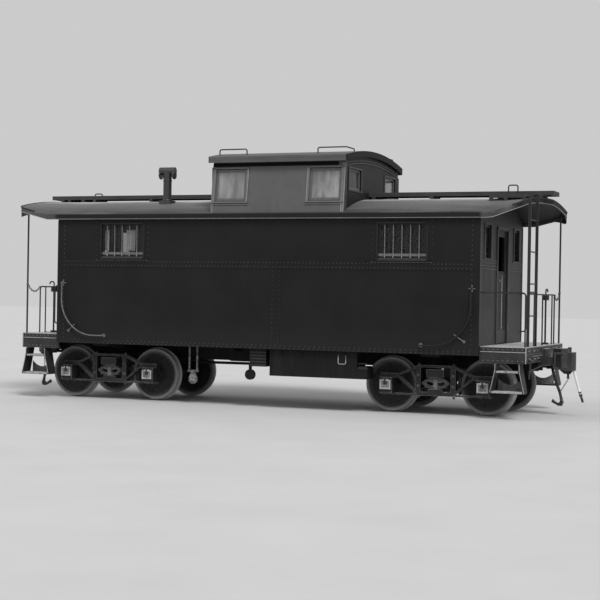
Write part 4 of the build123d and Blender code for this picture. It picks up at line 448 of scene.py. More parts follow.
for material, names in DRESS.items():
    for name in names:
        nodes[name].data.materials.clear()
        nodes[name].data.materials.append(material)


# --- Mesh building ---

# The faces of a box: CELL for corners from loops over X, Y and Z, SLAB for two outlines of four points
CELL = ((0, 1, 3, 2), (4, 6, 7, 5), (0, 4, 5, 1), (2, 3, 7, 6), (0, 2, 6, 4), (1, 5, 7, 3))
SLAB = ((0, 1, 2, 3), (7, 6, 5, 4), (0, 4, 5, 1), (3, 2, 6, 7), (0, 3, 7, 4), (1, 5, 6, 2))


def steps(low, high, pitch):
    """Even steps from low to high, about a pitch apart."""
    count = max(1, round((high - low) / pitch))
    return [low + (high - low) * i / count for i in range(count + 1)]


def spans(line):
    """Each neighbouring pair along a line."""
    return zip(line, line[1:])


def circle(centre, a, b, radius, sides):
    turns = [2 * math.pi * i / sides for i in range(sides)]
    return [centre + (a * math.cos(turn) + b * math.sin(turn)) * radius for turn in turns]


def placed(name, data):
    made = bpy.data.objects.new(name, data)
    bpy.context.scene.collection.objects.link(made)
    return made


def face_outwards(data):
    """Makes all the faces of a mesh face outwards."""
    work = bmesh.new()
    work.from_mesh(data)
    bmesh.ops.recalc_face_normals(work, faces=work.faces)
    work.to_mesh(data)
    work.free()


def surround(low, high, width, uprights, *rails):
    """Strips round an opening from low to high, as (across, height) pairs: an upright of this width on each
    side, and rails, each given by its reach past the opening and its two heights."""
    strips = [((low - width, low), uprights), ((high, high + width), uprights)]
    return strips + [((low - past, high + past), heights) for past, *heights in rails]


class Shape:
    """Collects faces and becomes one object that rides on a body."""

    def __init__(self):
        self.verts = []
        self.faces = []

    def add(self, verts, faces):
        start = len(self.verts)
        self.verts.extend(Vector(v) for v in verts)
        self.faces.extend(tuple(start + i for i in f) for f in faces)

    def box(self, x, y, z):
        x, y, z = sorted(x), sorted(y), sorted(z)
        self.add([(i, j, k) for i in x for j in y for k in z], CELL)

    def on_end(self, face, out, y, z, inset=INSET):
        """A strip on a face that looks along X: let in by inset and standing out by out."""
        self.box((face - inset, face + out), y, z)

    def on_side(self, side, face, out, x, z, inset=INSET):
        """The same on a face that looks along Y, at one side of the car."""
        self.box(x, (side * (face - inset), side * (face + out)), z)

    def skin(self, rings):
        """The wall through rings of points, closed at both ends."""
        sides = len(rings[0])
        last = (len(rings) - 1) * sides
        faces = []
        for start in range(0, last, sides):
            for i in range(sides):
                a, b = start + i, start + (i + 1) % sides
                faces.append((a, b, b + sides, a + sides))
        faces += [tuple(reversed(range(sides))), tuple(range(last, last + sides))]
        self.add([v for ring in rings for v in ring], faces)

    def turned(self, centre, normal, profile, sides=8):
        """A round piece along normal: profile is (radius, distance out of centre) pairs."""
        normal = Vector(normal).normalized()
        a = normal.orthogonal().normalized()
        b = normal.cross(a)
        self.skin([circle(Vector(centre) + normal * out, a, b, radius, sides) for radius, out in profile])

    def rivet(self, centre, normal, radius=0.013):
        profile = [(radius, -0.001), (radius * 0.86, radius * 0.38), (radius * 0.45, radius * 0.66)]
        self.turned(centre, normal, profile)

    def rivets(self, places, normal, radius=0.013):
        for place in places:
            self.rivet(place, normal, radius)

    def bolt(self, centre, normal, radius, reach):
        profile = [(radius * 1.25, -0.001), (radius * 1.25, 0.003), (radius, 0.004), (radius, reach),
                   (radius * 0.7, reach + 0.003)]
        self.turned(centre, normal, profile, 6)

    def tube(self, points, radius, sides=10):
        """A round rod along a line of points."""
        points = [Vector(p) for p in points]
        rings = []
        up = None
        for i, p in enumerate(points):
            ahead = (points[min(i + 1, len(points) - 1)] - points[max(i - 1, 0)]).normalized()
            if up is None:
                up = ahead.orthogonal().normalized()
            up = (up - ahead * up.dot(ahead)).normalized()
            rings.append(circle(p, up, ahead.cross(up), radius, sides))
        self.skin(rings)

    def pair(self, name, material, bodies=("root", "root"), **settings):
        """Makes the piece at the front end, and the same turned half round at the rear end."""
        rear = Shape()
        rear.add([(-v.x, -v.y, v.z) for v in self.verts], self.faces)
        self.make(f"{name}_front", material, bodies[0], **settings)
        rear.make(f"{name}_rear", material, bodies[1], **settings)

    def make(self, name, material, body="root", slot="iron_paint", bevel=0.0, smooth=False):
        """Makes the object and gives it its material and body."""
        data = bpy.data.meshes.new(name)
        data.from_pydata([tuple(v) for v in self.verts], [], self.faces)
        data.validate()
        data.materials.append(material)
        made = placed(name, data)
        face_outwards(data)
        if smooth:
            for polygon in data.polygons:
                polygon.use_smooth = len(polygon.vertices) == 4
        if bevel > 0:
            modifier = made.modifiers.new("edges", "BEVEL")
            modifier.width = bevel
            modifier.segments = 2
            modifier.limit_method = "ANGLE"
        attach(made, body)
        return made


def shapes(count):
    return [Shape() for _ in range(count)]


# --- Hoses ---

BRAKE_HOSE_ROUTE = ((4.7869, 0.7471), (4.8075, 0.6646), (4.836, 0.575), (4.866, 0.490), (4.902, 0.405),
                    (4.929, 0.320), (4.941, 0.240))
BRAKE_HOSE_Y = 0.300
BRAKE_HOSE_DIAMETER = 0.050
CANVAS_HOSE_ROUTE = ((5.206, 0.771), (5.241, 0.638), (5.278, 0.511), (5.319, 0.383))
CANVAS_HOSE_DIAMETER = 0.044


def hose(name, points, diameter, material, node_name):
    """A free hose that hangs along the points, in place of the model's hose, which it hides."""
    data = bpy.data.curves.new(name, "CURVE")
    data.dimensions = "3D"
    spline = data.splines.new("NURBS")
    spline.points.add(len(points) - 1)
    for point, place in zip(spline.points, points):
        point.co = (*place, 1.0)
    spline.order_u = 3
    spline.use_endpoint_u = True
    spline.resolution_u = 12
    data.bevel_depth = diameter / 2
    data.bevel_resolution = 6
    data.use_fill_caps = True
    data.materials.append(material)
    made = placed(name, data)
    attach(made, "root")
    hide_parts(node_name)


def clamp(name, high, low, share, diameter, length):
    """A clamp round a hose, part of the way from one of its points to the next, with its bolt lug."""
    place = Vector([a + (b - a) * share for a, b in zip(high, low)])
    along = (Vector(low) - Vector(high)).normalized()
    radius = diameter / 2
    shape = Shape()
    shape.turned(place - along * length / 2, along,
                 [(radius, 0), (radius + 0.004, 0.003), (radius + 0.004, length - 0.003), (radius, length)], 24)
    shape.bolt(place + Vector((0, -radius - 0.006, 0)), (0, -1, 0), 0.008, 0.010)
    return shape.make(name, COUPLER, slot="glad_iron", smooth=True)


for end, way in (("front", 1), ("rear", -1)):
    route = [(way * x, way * BRAKE_HOSE_Y, z) for x, z in BRAKE_HOSE_ROUTE]
    clamps = [clamp(f"hose_clamp_{end}_top", *route[:2], 0.35, BRAKE_HOSE_DIAMETER, 0.026),
              clamp(f"hose_clamp_{end}_low", *route[-2:], 0.6, BRAKE_HOSE_DIAMETER, 0.026)]
    hose(f"air_hose_{end}", route, BRAKE_HOSE_DIAMETER, HOSE,
         f"brake_hose_{end}")
route = [(x, 0.0, z) for x, z in CANVAS_HOSE_ROUTE]
canvas_clamp = clamp("canvas_hose_clamp", *route[-2:], 0.8, CANVAS_HOSE_DIAMETER, 0.03)
hose("canvas_hose_tube", route, CANVAS_HOSE_DIAMETER, CANVAS,
     "canvas_hose")

# --- Body sides ---

BELT_LOW_Z = 2.398
BELT_HIGH_Z = 2.545
BELT_ROWS = (2.435, 2.506)
BELT_PITCH = 0.068
FOOT_ROWS = (1.045, 1.086)
FOOT_PITCH = 0.090
COLUMN_PITCH = 0.081
ROW_X = 3.790
COLUMN_X = 3.813
SEAM_COLUMNS = (0.306, 0.430)
WINDOW_FRAME_HALF = 0.520
FINE_RIVET = 0.009
WINDOW_RIVET = 0.010
SEAM_HALF = 0.090
EAVE_Z = 3.260
PLATE = 0.006

for side, word in ((-1, "near"), (1, "far")):
    face = side * SIDE_Y
    normal = (0, side, 0)
    rivets = Shape()
    for rows, pitch, y in ((BELT_ROWS, BELT_PITCH, face + side * PLATE), (FOOT_ROWS, FOOT_PITCH, face)):
        for row, z in enumerate(rows):
            rivets.rivets([(x, y, z) for x in steps(-ROW_X + row * pitch / 2, ROW_X, pitch)], normal)
    rivets.rivets([(x, face, z) for x in (-COLUMN_X, COLUMN_X) for z in steps(1.12, 3.22, COLUMN_PITCH)], normal)
    columns = [(side * -x, z) for x in SEAM_COLUMNS for z in steps(1.15, 2.36, COLUMN_PITCH)]
    rivets.rivets([(x, face + side * PLATE / 2, z) for x, z in columns], normal, FINE_RIVET)
    rivets.rivets([(x, face, 3.215) for x in steps(-3.7, 3.7, 0.15)], normal, FINE_RIVET)
    for centre in (-WINDOW_X, WINDOW_X):
        left, right = centre - WINDOW_FRAME_HALF, centre + WINDOW_FRAME_HALF
        around = [(x, WINDOW_HIGH_Z + 0.035) for x in steps(left, right, 0.13)]
        around += [(x, z) for x in (left, right) for z in steps(WINDOW_LOW_Z + 0.03, WINDOW_HIGH_Z - 0.05, 0.1)]
        rivets.rivets([(x, face, z) for x, z in around], normal, WINDOW_RIVET)
    rivets.make(f"side_rivets_{word}", RIVET, slot="body_paint", smooth=True)
    belt = Shape()
    belt.on_side(side, SIDE_Y, PLATE, (-3.94, 3.94), (BELT_LOW_Z, BELT_HIGH_Z))
    seam = side * -sum(SEAM_COLUMNS) / 2
    belt.on_side(side, SIDE_Y, PLATE / 2, (seam - SEAM_HALF, seam + SEAM_HALF), (1.03, BELT_LOW_Z))
    belt.make(f"belt_plate_{word}", BODY, slot="body_paint", bevel=0.002)
    # The eave moulding, pale as a painted highlight on its lit top
    eave = Shape()
    eave.box((-3.95, 3.95), (side * 1.538, side * 1.553), (EAVE_Z - 0.002, EAVE_Z + 0.014))
    eave.make(f"eave_moulding_{word}", EAVE, slot="roof_paint", bevel=0.003)

# --- Side windows and curtains ---

SASH_STRIP = (2.632, 2.676)
SILL_Z = 2.532
CURTAIN_Y = 1.382
CURTAINS = ((-3.165, -2.940, 2.705, 1.5), (-2.582, -2.410, 2.707, 1.8))
ROD_Z = 3.075

frames, strips, sills = shapes(3)
for side in BOTH:
    for window in BOTH:
        centre = window * WINDOW_X
        left, right = centre - WINDOW_HALF, centre + WINDOW_HALF
        for x, z in surround(left, right, 0.03, (WINDOW_LOW_Z - 0.02, WINDOW_HIGH_Z + 0.02),
                             (0, WINDOW_HIGH_Z, WINDOW_HIGH_Z + 0.02)):
            frames.on_side(side, SIDE_Y, 0.008, x, z)
        inside = (left + 0.002, right - 0.002)
        strips.on_side(side, SIDE_Y, -0.016, inside, SASH_STRIP, 0.024)
        strips.on_side(side, SIDE_Y, -0.004, inside, (WINDOW_LOW_Z + 0.001, WINDOW_LOW_Z + 0.008), 0.020)
        sills.on_side(side, SIDE_Y, 0.016, (centre - 0.53, centre + 0.52), (SILL_Z - 0.006, SILL_Z + 0.006))
        for x in (left - 0.015, right + 0.015):
            for z in (WINDOW_LOW_Z + 0.05, WINDOW_HIGH_Z - 0.05):
                frames.bolt((x, side * (SIDE_Y + 0.008), z), (0, side, 0), 0.008, 0.006)
frames.make("side_window_surrounds", SASH, slot="sash_paint", bevel=0.002)
strips.make("side_sash_rails", SASH_PALE, slot="sash_paint", bevel=0.002)
sills.make("side_sills_drip", SASH_PALE, slot="body_paint", bevel=0.003)


def curtain(name, low_x, high_x, low_z, fullness, seed):
    """A short cotton curtain on a rod, drawn into folds that spread a little towards its ragged hem."""
    rows, columns = 16, 60
    order = random.Random(seed)
    folds = 3.5 + order.random()
    phase = order.random() * 6.0
    width = high_x - low_x
    depth = 0.0135 * fullness
    verts = []
    for j in range(rows + 1):
        down = j / rows
        for i in range(columns + 1):
            u = i / columns
            wave = math.sin(2 * math.pi * folds * u + phase + 0.5 * math.sin(3 * down + phase))
            small = 0.3 * math.sin(2 * math.pi * folds * 2.3 * u + 2 * phase + down)
            x = low_x + width * (u + 0.03 * down * math.sin(5 * u + phase))
            y = -CURTAIN_Y + depth * (0.55 + 0.45 * down) * (wave + small) / 1.3
            z = ROD_Z + (low_z - ROD_Z) * down + 0.012 * down * math.sin(7 * u + phase)
            verts.append((x, y, z))
    starts = [j * (columns + 1) + i for j in range(rows) for i in range(columns)]
    faces = [(a, a + 1, a + columns + 2, a + columns + 1) for a in starts]
    data = bpy.data.meshes.new(name)
    data.from_pydata(verts, [], faces)
    data.materials.append(CURTAIN)
    for polygon in data.polygons:
        polygon.use_smooth = True
    made = placed(name, data)
    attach(made, "root")


rod = Shape()
rod.tube([(x, -CURTAIN_Y, ROD_Z + 0.004) for x in (-3.17, -2.14)], 0.004, 8)
for x in (-3.165, -2.15):
    rod.box((x - 0.006, x + 0.006), (-CURTAIN_Y - 0.024, -CURTAIN_Y + 0.006), (ROD_Z - 0.004, ROD_Z + 0.012))
rod.make("curtain_rod", BAR_LIGHT, slot="sash_paint")
for number, sizes in enumerate(CURTAINS, 1):
    curtain(f"curtain_{number}", *sizes, number)

# --- Roof ---

ROOF_CROWN_Z = 3.665
ROOF_RADIUS = 3.9464
HOOD_RADIUS = 7.316
HOOD_FROM_X = 4.15
HOOD_X = 4.74
HOOD_CORNER = (4.65, 1.455)
HOOD_CORNER_RADIUS = 0.09
ROOF_EDGE_Y = 1.545
RIM_DEPTH = 0.090
ROOF_SEAMS_X = (1.95, 2.72, 3.49, 4.10)
ROOF_SEAM_HALF = 0.025
ROOF_SEAM_TOP = 0.0015


def arch_z(y, crown, radius):
    """Height of a round arch at a distance from its middle."""
    return crown - radius + math.sqrt(radius ** 2 - y * y)


def roof_z(x, y):
    """Height of the roof's top face."""
    body = arch_z(y, ROOF_CROWN_Z, ROOF_RADIUS)
    share = max(0.0, (abs(x) - HOOD_FROM_X) / (HOOD_X - HOOD_FROM_X))
    return body + share * (arch_z(y, ROOF_CROWN_Z, HOOD_RADIUS) - body)


def along(points, pitch):
    """The same line with points at most a pitch apart."""
    made = [points[0]]
    for a, b in spans(points):
        count = max(1, math.ceil(math.dist(a, b) / pitch))
        made += [tuple(p + (q - p) * i / count for p, q in zip(a, b)) for i in range(1, count + 1)]
    return made


def arc(centre, radius, low, high, count):
    turns = [math.radians(low + (high - low) * i / count) for i in range(count + 1)]
    return [(centre[0] + radius * math.cos(turn), centre[1] + radius * math.sin(turn)) for turn in turns]


def lip_heights(share, x, y):
    """Top and bottom of the lip round a hood's corner, which hangs deepest halfway."""
    top = roof_z(x, y) - RIM_DEPTH + 0.01
    return top, top - 0.02 - 0.085 * math.sin(math.pi * share) ** 1.5


outline = along(
    [(3.95, -ROOF_EDGE_Y), *arc((4.0, -0.985), 0.56, -90, 0, 16), (4.56, -0.70), (HOOD_X, 0.30),
     (HOOD_X, HOOD_CORNER[1]), *arc(HOOD_CORNER, HOOD_CORNER_RADIUS, 0, 90, 8), (3.95, ROOF_EDGE_Y)], 0.06)
# The hood's drip edge, pale as a painted highlight
drip = Shape()
drip.tube([(x, y, roof_z(x, y) - RIM_DEPTH + 0.004) for x, y in outline], 0.006, 6)
drip.pair("hood_drip_edge", DRIP_HIGHLIGHT, slot="roof_paint", smooth=True)
bead = Shape()
bead.tube([(x, y, roof_z(x, y) - 0.004) for x, y in outline if x > 4.4], 0.014, 8)
bead.pair("hood_end_bead", ROOF_TRIM, slot="roof_paint", smooth=True)

lip = Shape()
radius = HOOD_CORNER_RADIUS - 0.002
x, y = HOOD_CORNER
bend = arc(HOOD_CORNER, radius, 0, 90, 8)[1:]
corner = along([(x + radius, 1.28), (x + radius, y), *bend, (4.52, y + radius)], 0.03)
last = len(corner) - 1
for i, ((x0, y0), (x1, y1)) in enumerate(spans(corner)):
    (t0, l0), (t1, l1) = lip_heights(i / last, x0, y0), lip_heights((i + 1) / last, x1, y1)
    face = [(x0, y0, t0), (x1, y1, t1), (x1, y1, l1), (x0, y0, l0)]
    out = Vector((y1 - y0, x0 - x1, 0)).normalized() * -0.008
    lip.add(face + [(x + out.x, y + out.y, z) for x, y, z in face], SLAB)
lip.pair("hood_corner_lip", ROOF_TRIM, slot="roof_paint")

seams, rivets = shapes(2)
ridge = [ROOF_EDGE_Y * (i / 24 * 2 - 1) for i in range(25)]
for x in ROOF_SEAMS_X:
    low, high = x - ROOF_SEAM_HALF, x + ROOF_SEAM_HALF
    for y0, y1 in spans(ridge):
        corners = [(low, y0), (high, y0), (high, y1), (low, y1)]
        seams.add([(i, j, roof_z(i, j) + out) for out in (-INSET, ROOF_SEAM_TOP) for i, j in corners], SLAB)
    for y in steps(-1.5, 1.5, 0.1):
        rivets.rivet((x, y, roof_z(x, y) + ROOF_SEAM_TOP), (0, y / ROOF_RADIUS, 1), 0.006)
seams.pair("roof_seams", ROOF, slot="roof_paint")
rivets.pair("roof_seam_rivets", ROOF, slot="roof_paint", smooth=True)

# --- Cupola ---

CUPOLA_WINDOWS_X = (CUPOLA_MIDDLE_X - 0.876, CUPOLA_MIDDLE_X + 0.876)
CUPOLA_WINDOW_HALF = 0.290
CUPOLA_CORNER = 0.050
END_WINDOW_Y = 0.940
END_ARCH = (4.322, 0.115, 1.36)


def cupola_y(z):
    """Distance of the cupola's leaning side from the middle, at a height."""
    return 1.502 - 0.108 * (z - 3.33) / 0.886


def leaning(shape, side, out, x, z, inset=INSET):
    """A strip on the cupola's leaning side, let in by inset and standing out by out."""
    shape.add([(i, side * (cupola_y(k) + o), k) for i in x for o in (-inset, out) for k in z], CELL)


trim_and_painted_shadow, trim, casing, edges, end_trim = shapes(5)
for side in BOTH:
    # The black band under the cupola's roof: trim, with painted shadow from the eave
    leaning(trim_and_painted_shadow, side, 0.014, (CUPOLA_X[0] + 0.01, CUPOLA_X[1] - 0.13), (4.168, 4.228))
    for x in (CUPOLA_X[0], CUPOLA_X[1] - CUPOLA_CORNER):
        leaning(trim, side, 0.008, (x, x + CUPOLA_CORNER), (3.36, 4.22))
    for centre in CUPOLA_WINDOWS_X:
        left, right = centre - CUPOLA_WINDOW_HALF, centre + CUPOLA_WINDOW_HALF
        for x, z in surround(left, right, 0.035, (3.55, 4.15), (0.035, 4.13, 4.155)):
            leaning(casing, side, 0.012, x, z)
        leaning(casing, side, 0.026, (left - 0.06, right + 0.06), (3.535, 3.55))
        leaning(casing, side, 0.016, (left - 0.06, right + 0.06), (3.500, 3.512))
    for x in (CUPOLA_X[1] - 0.010, CUPOLA_X[1] - 0.054):
        leaning(edges, side, 0.011, (x, x + 0.008), (3.38, 4.20), -0.006)
    for x in (CUPOLA_WINDOWS_X[0] + 0.322, CUPOLA_WINDOWS_X[1] - 0.330):
        leaning(edges, side, 0.014, (x, x + 0.008), (3.56, 4.14), -0.010)
# The cupola's edge beads, pale as a painted highlight
edges.make("cupola_edge_beads", DRIP_HIGHLIGHT, slot="cupola_paint")
trim_and_painted_shadow.make("cupola_trim_and_painted_shadow", TRIM_AND_PAINTED_SHADOW, slot="cupola_paint", bevel=0.002)
trim.make("cupola_side_trim", CUPOLA_TRIM, slot="cupola_paint", bevel=0.002)
casing.make("cupola_window_casings", CUPOLA_TRIM, slot="cupola_paint", bevel=0.002)

for end, x in zip(BOTH, CUPOLA_X):
    face = (x - end * INSET, x + end * 0.012)
    for side in BOTH:
        low, high = side * END_WINDOW_Y - 0.30, side * END_WINDOW_Y + 0.30
        for y, z in surround(low, high, 0.03, (3.77, 4.13), (0.03, 4.13, 4.155), (0.05, 3.745, 3.77)):
            end_trim.box(face, y, z)
        end_trim.box(face, (side * 1.385, side * (cupola_y(3.9) - 0.012)), (3.40, 4.16))
    crown, fall, half = END_ARCH
    for offset in (0.0, 0.045):
        for y0, y1 in spans(steps(-half, half, 0.1)):
            z0, z1 = (crown - offset - fall * (y / half) ** 2 for y in (y0, y1))
            corners = ((y0, z0), (y1, z1), (y1, z1 + 0.014), (y0, z0 + 0.014))
            end_trim.add([(i, j, k) for i in face for j, k in corners], SLAB)
end_trim.make("cupola_end_trim", CUPOLA_END_TRIM, slot="cupola_paint")

# --- Smoke jack ---

JACK_X = -2.110
JACK_Y = -0.750
JACK_HEAD_Z = 4.105
JACK_FOOT_Z = 3.625

# The dark discs in the head's mouths are painted shade inside the pipe
jack, mouth_shade = shapes(2)
for way in BOTH:
    jack.turned((JACK_X + way * 0.118, JACK_Y, JACK_HEAD_Z), (way, 0, 0),
                [(0.071, 0), (0.079, 0.004), (0.079, 0.026), (0.071, 0.032), (0.060, 0.030)], 28)
    mouth_shade.turned((JACK_X + way * 0.1495, JACK_Y, JACK_HEAD_Z), (way, 0, 0),
                  [(0.058, 0), (0.058, 0.001), (0.05, 0.0015)], 28)
for z, radius, height in ((JACK_HEAD_Z - 0.115, 0.082, 0.026), (JACK_FOOT_Z, 0.084, 0.034)):
    profile = [(0.077, 0), (radius, 0.004), (radius, height - 0.004), (0.077, height)]
    jack.turned((JACK_X, JACK_Y, z), UP, profile, 28)
jack.make("smoke_jack_bands", JACK, smooth=True)
mouth_shade.make("smoke_jack_mouth_shade", LID_DARK, smooth=True)

# --- End walls and doors ---

DOOR_BODIES = ("door_front", "door_rear")
DOORWAY_HALF = 0.405
WALL_WINDOW_Y = 0.990

wall, hinges = shapes(2)
for z in (2.585, 2.545, 2.495, 2.445):
    for y in ((-1.44, -0.41), (0.41, 1.44)):
        wall.on_end(CORNER_X, 0.012, y, (z - 0.008, z + 0.008))
for side in BOTH:
    wall.on_end(CORNER_X, 0.010, (side * 1.425, side * 1.472), (1.19, 3.24))
    wall.on_end(CORNER_X, 0.020, (side * 0.355, side * DOORWAY_HALF), (1.19, 3.17))
    low, high = side * WALL_WINDOW_Y - 0.19, side * WALL_WINDOW_Y + 0.19
    for y, z in surround(low, high, 0.035, (2.575, 3.19), (0.035, 3.175, 3.20), (0.05, 2.60, 2.62)):
        wall.on_end(CORNER_X, 0.014, y, z)
    for z in steps(1.24, 3.12, 0.094):
        wall.rivet((CORNER_X + 0.010, side * 1.448, z), AHEAD, 0.008)
wall.on_end(CORNER_X, 0.020, (-DOORWAY_HALF, DOORWAY_HALF), (3.135, 3.175))
wall.pair("end_wall_trim", END_TRIM, slot="body_paint", bevel=0.002)
for z in (1.45, 2.15, 2.85):
    hinges.box((CORNER_X + 0.001, CORNER_X + 0.024), (0.358, 0.376), (z - 0.06, z + 0.06))

door_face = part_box("door_front")[1][0]
door, stile, latch = shapes(3)
door.on_end(door_face, 0.005, (-0.32, 0.32), (1.20, 1.42))
for y in (-0.335, 0.315):
    door.on_end(door_face, 0.008, (y, y + 0.02), (1.20, 3.11))
for y, z in surround(-0.245, 0.245, 0.015, (1.46, 2.36), (0.015, 1.46, 1.475), (0.015, 2.345, 2.36)):
    door.on_end(door_face, 0.008, y, z)
for y in (-0.30, -0.15, 0.0, 0.15, 0.30):
    door.rivet((door_face + 0.005, y, 1.40), AHEAD, 0.006)
stile.on_end(door_face, 0.012, (0.062, 0.078), (1.43, 2.34))
stile.pair("door_centre_bead", EDGE, DOOR_BODIES, slot="body_paint", bevel=0.002)
door.pair("door_mouldings", END_TRIM, DOOR_BODIES, slot="body_paint", bevel=0.002)
latch.on_end(door_face, 0.006, (-0.33, -0.27), (2.16, 2.32), SLIGHT)
knob = [(0.016, 0), (0.010, 0.006), (0.010, 0.035), (0.024, 0.042), (0.027, 0.052), (0.020, 0.062), (0.006, 0.066)]
latch.turned((door_face + 0.006, -0.30, 2.26), AHEAD, knob, 18)
latch.pair("door_latch", HARDWARE, DOOR_BODIES, smooth=True)
hinges.pair("door_hinge_leaves", HARDWARE, bevel=0.002)

# --- Platforms and steps ---

TREADS = ((4.236, 4.590, 0.793), (4.160, 4.664, 0.465))
STRINGERS = ((4.214, 4.132), (4.612, 4.694))
STRINGER_Y = 1.452
APRON_X = 4.413
END_RIVET = 0.010

edge, plate_rivets, treads, aprons = shapes(4)
for side in BOTH:
    lengthwise = (CORNER_X + 0.01, PLATFORM_X)
    edge.on_side(side, PLATFORM_Y, 0.006, lengthwise, (DECK_Z - 0.010, DECK_Z + 0.003), 0.004)
    edge.on_side(side, PLATFORM_Y, 0.010, lengthwise, (1.094, 1.106))
    edge.on_side(side, PLATFORM_Y, 0.006, (PLATFORM_X - 0.012, PLATFORM_X + 0.003), (0.922, DECK_Z), 0.006)
    for z in (0.96, 1.14):
        for x in steps(CORNER_X + 0.06, PLATFORM_X - 0.06, 0.08):
            plate_rivets.rivet((x, side * PLATFORM_Y, z), (0, side, 0), END_RIVET)
    for x0, x1, z in TREADS:
        treads.box((x0, x1), (side * 1.440, side * 1.454), (z - 0.026, z + 0.004))
        for y in (1.215, 1.275, 1.335, 1.395):
            treads.box((x0 + 0.01, x1 - 0.01), (side * y, side * (y + 0.012)), (z - 0.002, z + 0.005))
    for x0, x1 in STRINGERS:
        treads.tube([(x, side * STRINGER_Y, z) for x, z in ((x0, 0.905), (x0, 0.80), (x1, 0.445))], 0.006, 6)
    for x0, x1 in spans(steps(-0.20, 0.20, 0.025)):
        corners = [(x0, 0.462), (x1, 0.462), (x1, 0.565 + 2.6 * x1 * x1), (x0, 0.565 + 2.6 * x0 * x0)]
        aprons.add([(APRON_X + x, side * y, z) for y in (1.214, 1.206) for x, z in corners], SLAB)
edge.on_end(PLATFORM_X, 0.006, (-PLATFORM_Y, PLATFORM_Y), (DECK_Z - 0.012, DECK_Z + 0.003), 0.004)
for z in (0.96, 1.06):
    for y in steps(-1.34, 1.34, 0.11):
        if abs(y) > 0.24:
            plate_rivets.rivet((PLATFORM_X, y, z), AHEAD, END_RIVET)
# Pale strips along the platforms' edges: wear, and a painted highlight on their lit edges
edge.pair("platform_edges", EDGE, slot="deck_steel", bevel=0.002)
plate_rivets.pair("platform_rivets", PLATE_RIVET, slot="deck_steel", smooth=True)
treads.pair("step_nosings", EDGE, slot="deck_steel", bevel=0.003)
aprons.pair("step_aprons", APRON, slot="deck_steel")

# --- Chains, straps and pins at the ends ---

CHAIN_EYES = ((0.930, 2.035), (1.362, 2.075))
UNCOUPLING_X = 5.107
HANGER_Y = (-0.176, -0.166)


def chain(shape, start, end, sag, link=0.052, wire=0.0055):
    """Round links that hang between two eyes, each turned a quarter from the last."""
    start, end = Vector(start), Vector(end)
    count = max(4, round((end - start).length * 1.12 / (link - 2.2 * wire)))
    shares = [i / count for i in range(count + 1)]
    line = [start.lerp(end, share) - Vector((0, 0, 4 * sag * share * (1 - share))) for share in shares]
    for i, (a, b) in enumerate(spans(line)):
        middle = (a + b) / 2
        ahead = (b - a).normalized()
        side = ahead.cross(Vector(UP)).normalized()
        if i % 2:
            side = ahead.cross(side).normalized()
        half = link / 2 - wire
        narrow = link * 0.30
        turns = [2 * math.pi * k / 12 for k in range(12)]
        ring = [middle + ahead * half * math.cos(turn) + side * narrow * math.sin(turn) for turn in turns]
        shape.tube(ring + ring[:2], wire, 6)


chains, gear, strap, sill, brace = shapes(5)
chain(chains, (RAIL_X, 0.945, 2.035), (RAIL_X, 1.346, 2.075), 0.105)
for y, z in CHAIN_EYES:
    chains.turned((RAIL_X, y, z - 0.012), UP, [(0.020, 0), (0.024, 0.004), (0.024, 0.020), (0.020, 0.024)], 14)
chains.pair("rail_chain", CHAIN, smooth=True)
gear.tube([(UNCOUPLING_X, 0.0, 0.735), (UNCOUPLING_X, 0.0, 0.650)], 0.020, 12)
gear.turned((UNCOUPLING_X, 0.0, 0.655), DOWN, [(0.026, 0), (0.026, 0.014), (0.012, 0.020)], 12)
gear.turned((5.145, -0.075, 1.138), UP, [(0.024, 0), (0.034, 0.006), (0.034, 0.022), (0.024, 0.032)], 16)
for z in (0.80, 1.06):
    gear.box((4.90, 5.06), HANGER_Y, (z - 0.012, z + 0.012))
gear.box((4.902, 4.925), HANGER_Y, (0.812, 1.048))
gear.pair("coupler_fittings", COUPLER, slot="glad_iron", bevel=0.002)
strap.tube([(5.122, 0.0, 0.662), (5.118, 0.006, 0.640), (4.945, 0.270, 0.425), (4.930, 0.290, 0.412)], 0.011, 10)
strap.pair("hose_strap", STRAP, slot="glad_iron", smooth=True)
for y in (-1.22, -0.86, -0.62, 0.62, 0.86, 1.22):
    sill.bolt((PLATFORM_X, y, 1.115), AHEAD, 0.020, 0.018)
    sill.bolt((PLATFORM_X, y + 0.05, 0.985), AHEAD, 0.016, 0.016)
for y in ((-0.95, -0.24), (0.24, 0.95)):
    sill.on_end(PLATFORM_X, 0.012, y, (1.020, 1.034), SLIGHT)
for y in (-0.52, 0.44):
    sill.on_end(PLATFORM_X, 0.020, (y - 0.035, y + 0.035), (0.925, 1.00), SLIGHT)
sill.pair("end_sill_fittings", PLATE_RIVET, slot="deck_steel", bevel=0.002)
brace.on_end(RAIL_X, 0.004, (-1.070, -0.529), (2.030, 2.085), 0.012)
brace.on_end(RAIL_X, 0.004, (-0.640, -0.545), (1.190, 2.030), 0.012)
for y in (-1.00, -0.60):
    brace.bolt((RAIL_X + 0.004, y, 2.058), AHEAD, 0.012, 0.012)
brace.tube([(RAIL_X, 0.74, 1.184), (RAIL_X, 0.74, 2.036)], 0.012, 10)
brace.pair("rail_brace", BAR_IRON, bevel=0.001)

# --- Trucks ---

TRUCK_BODIES = ("truck_front", "truck_rear")
LID_FACE_Y = 1.152
LID_Z = (0.407, 0.567)
LID_HALF = 0.094
LID_RIM = 0.024
PANEL_HALF = 0.070
FRAME_Y = 0.965
BOLSTER_BOLT_X = 0.303
BAND_HALF = 0.035
SPRING_Z = 0.5155

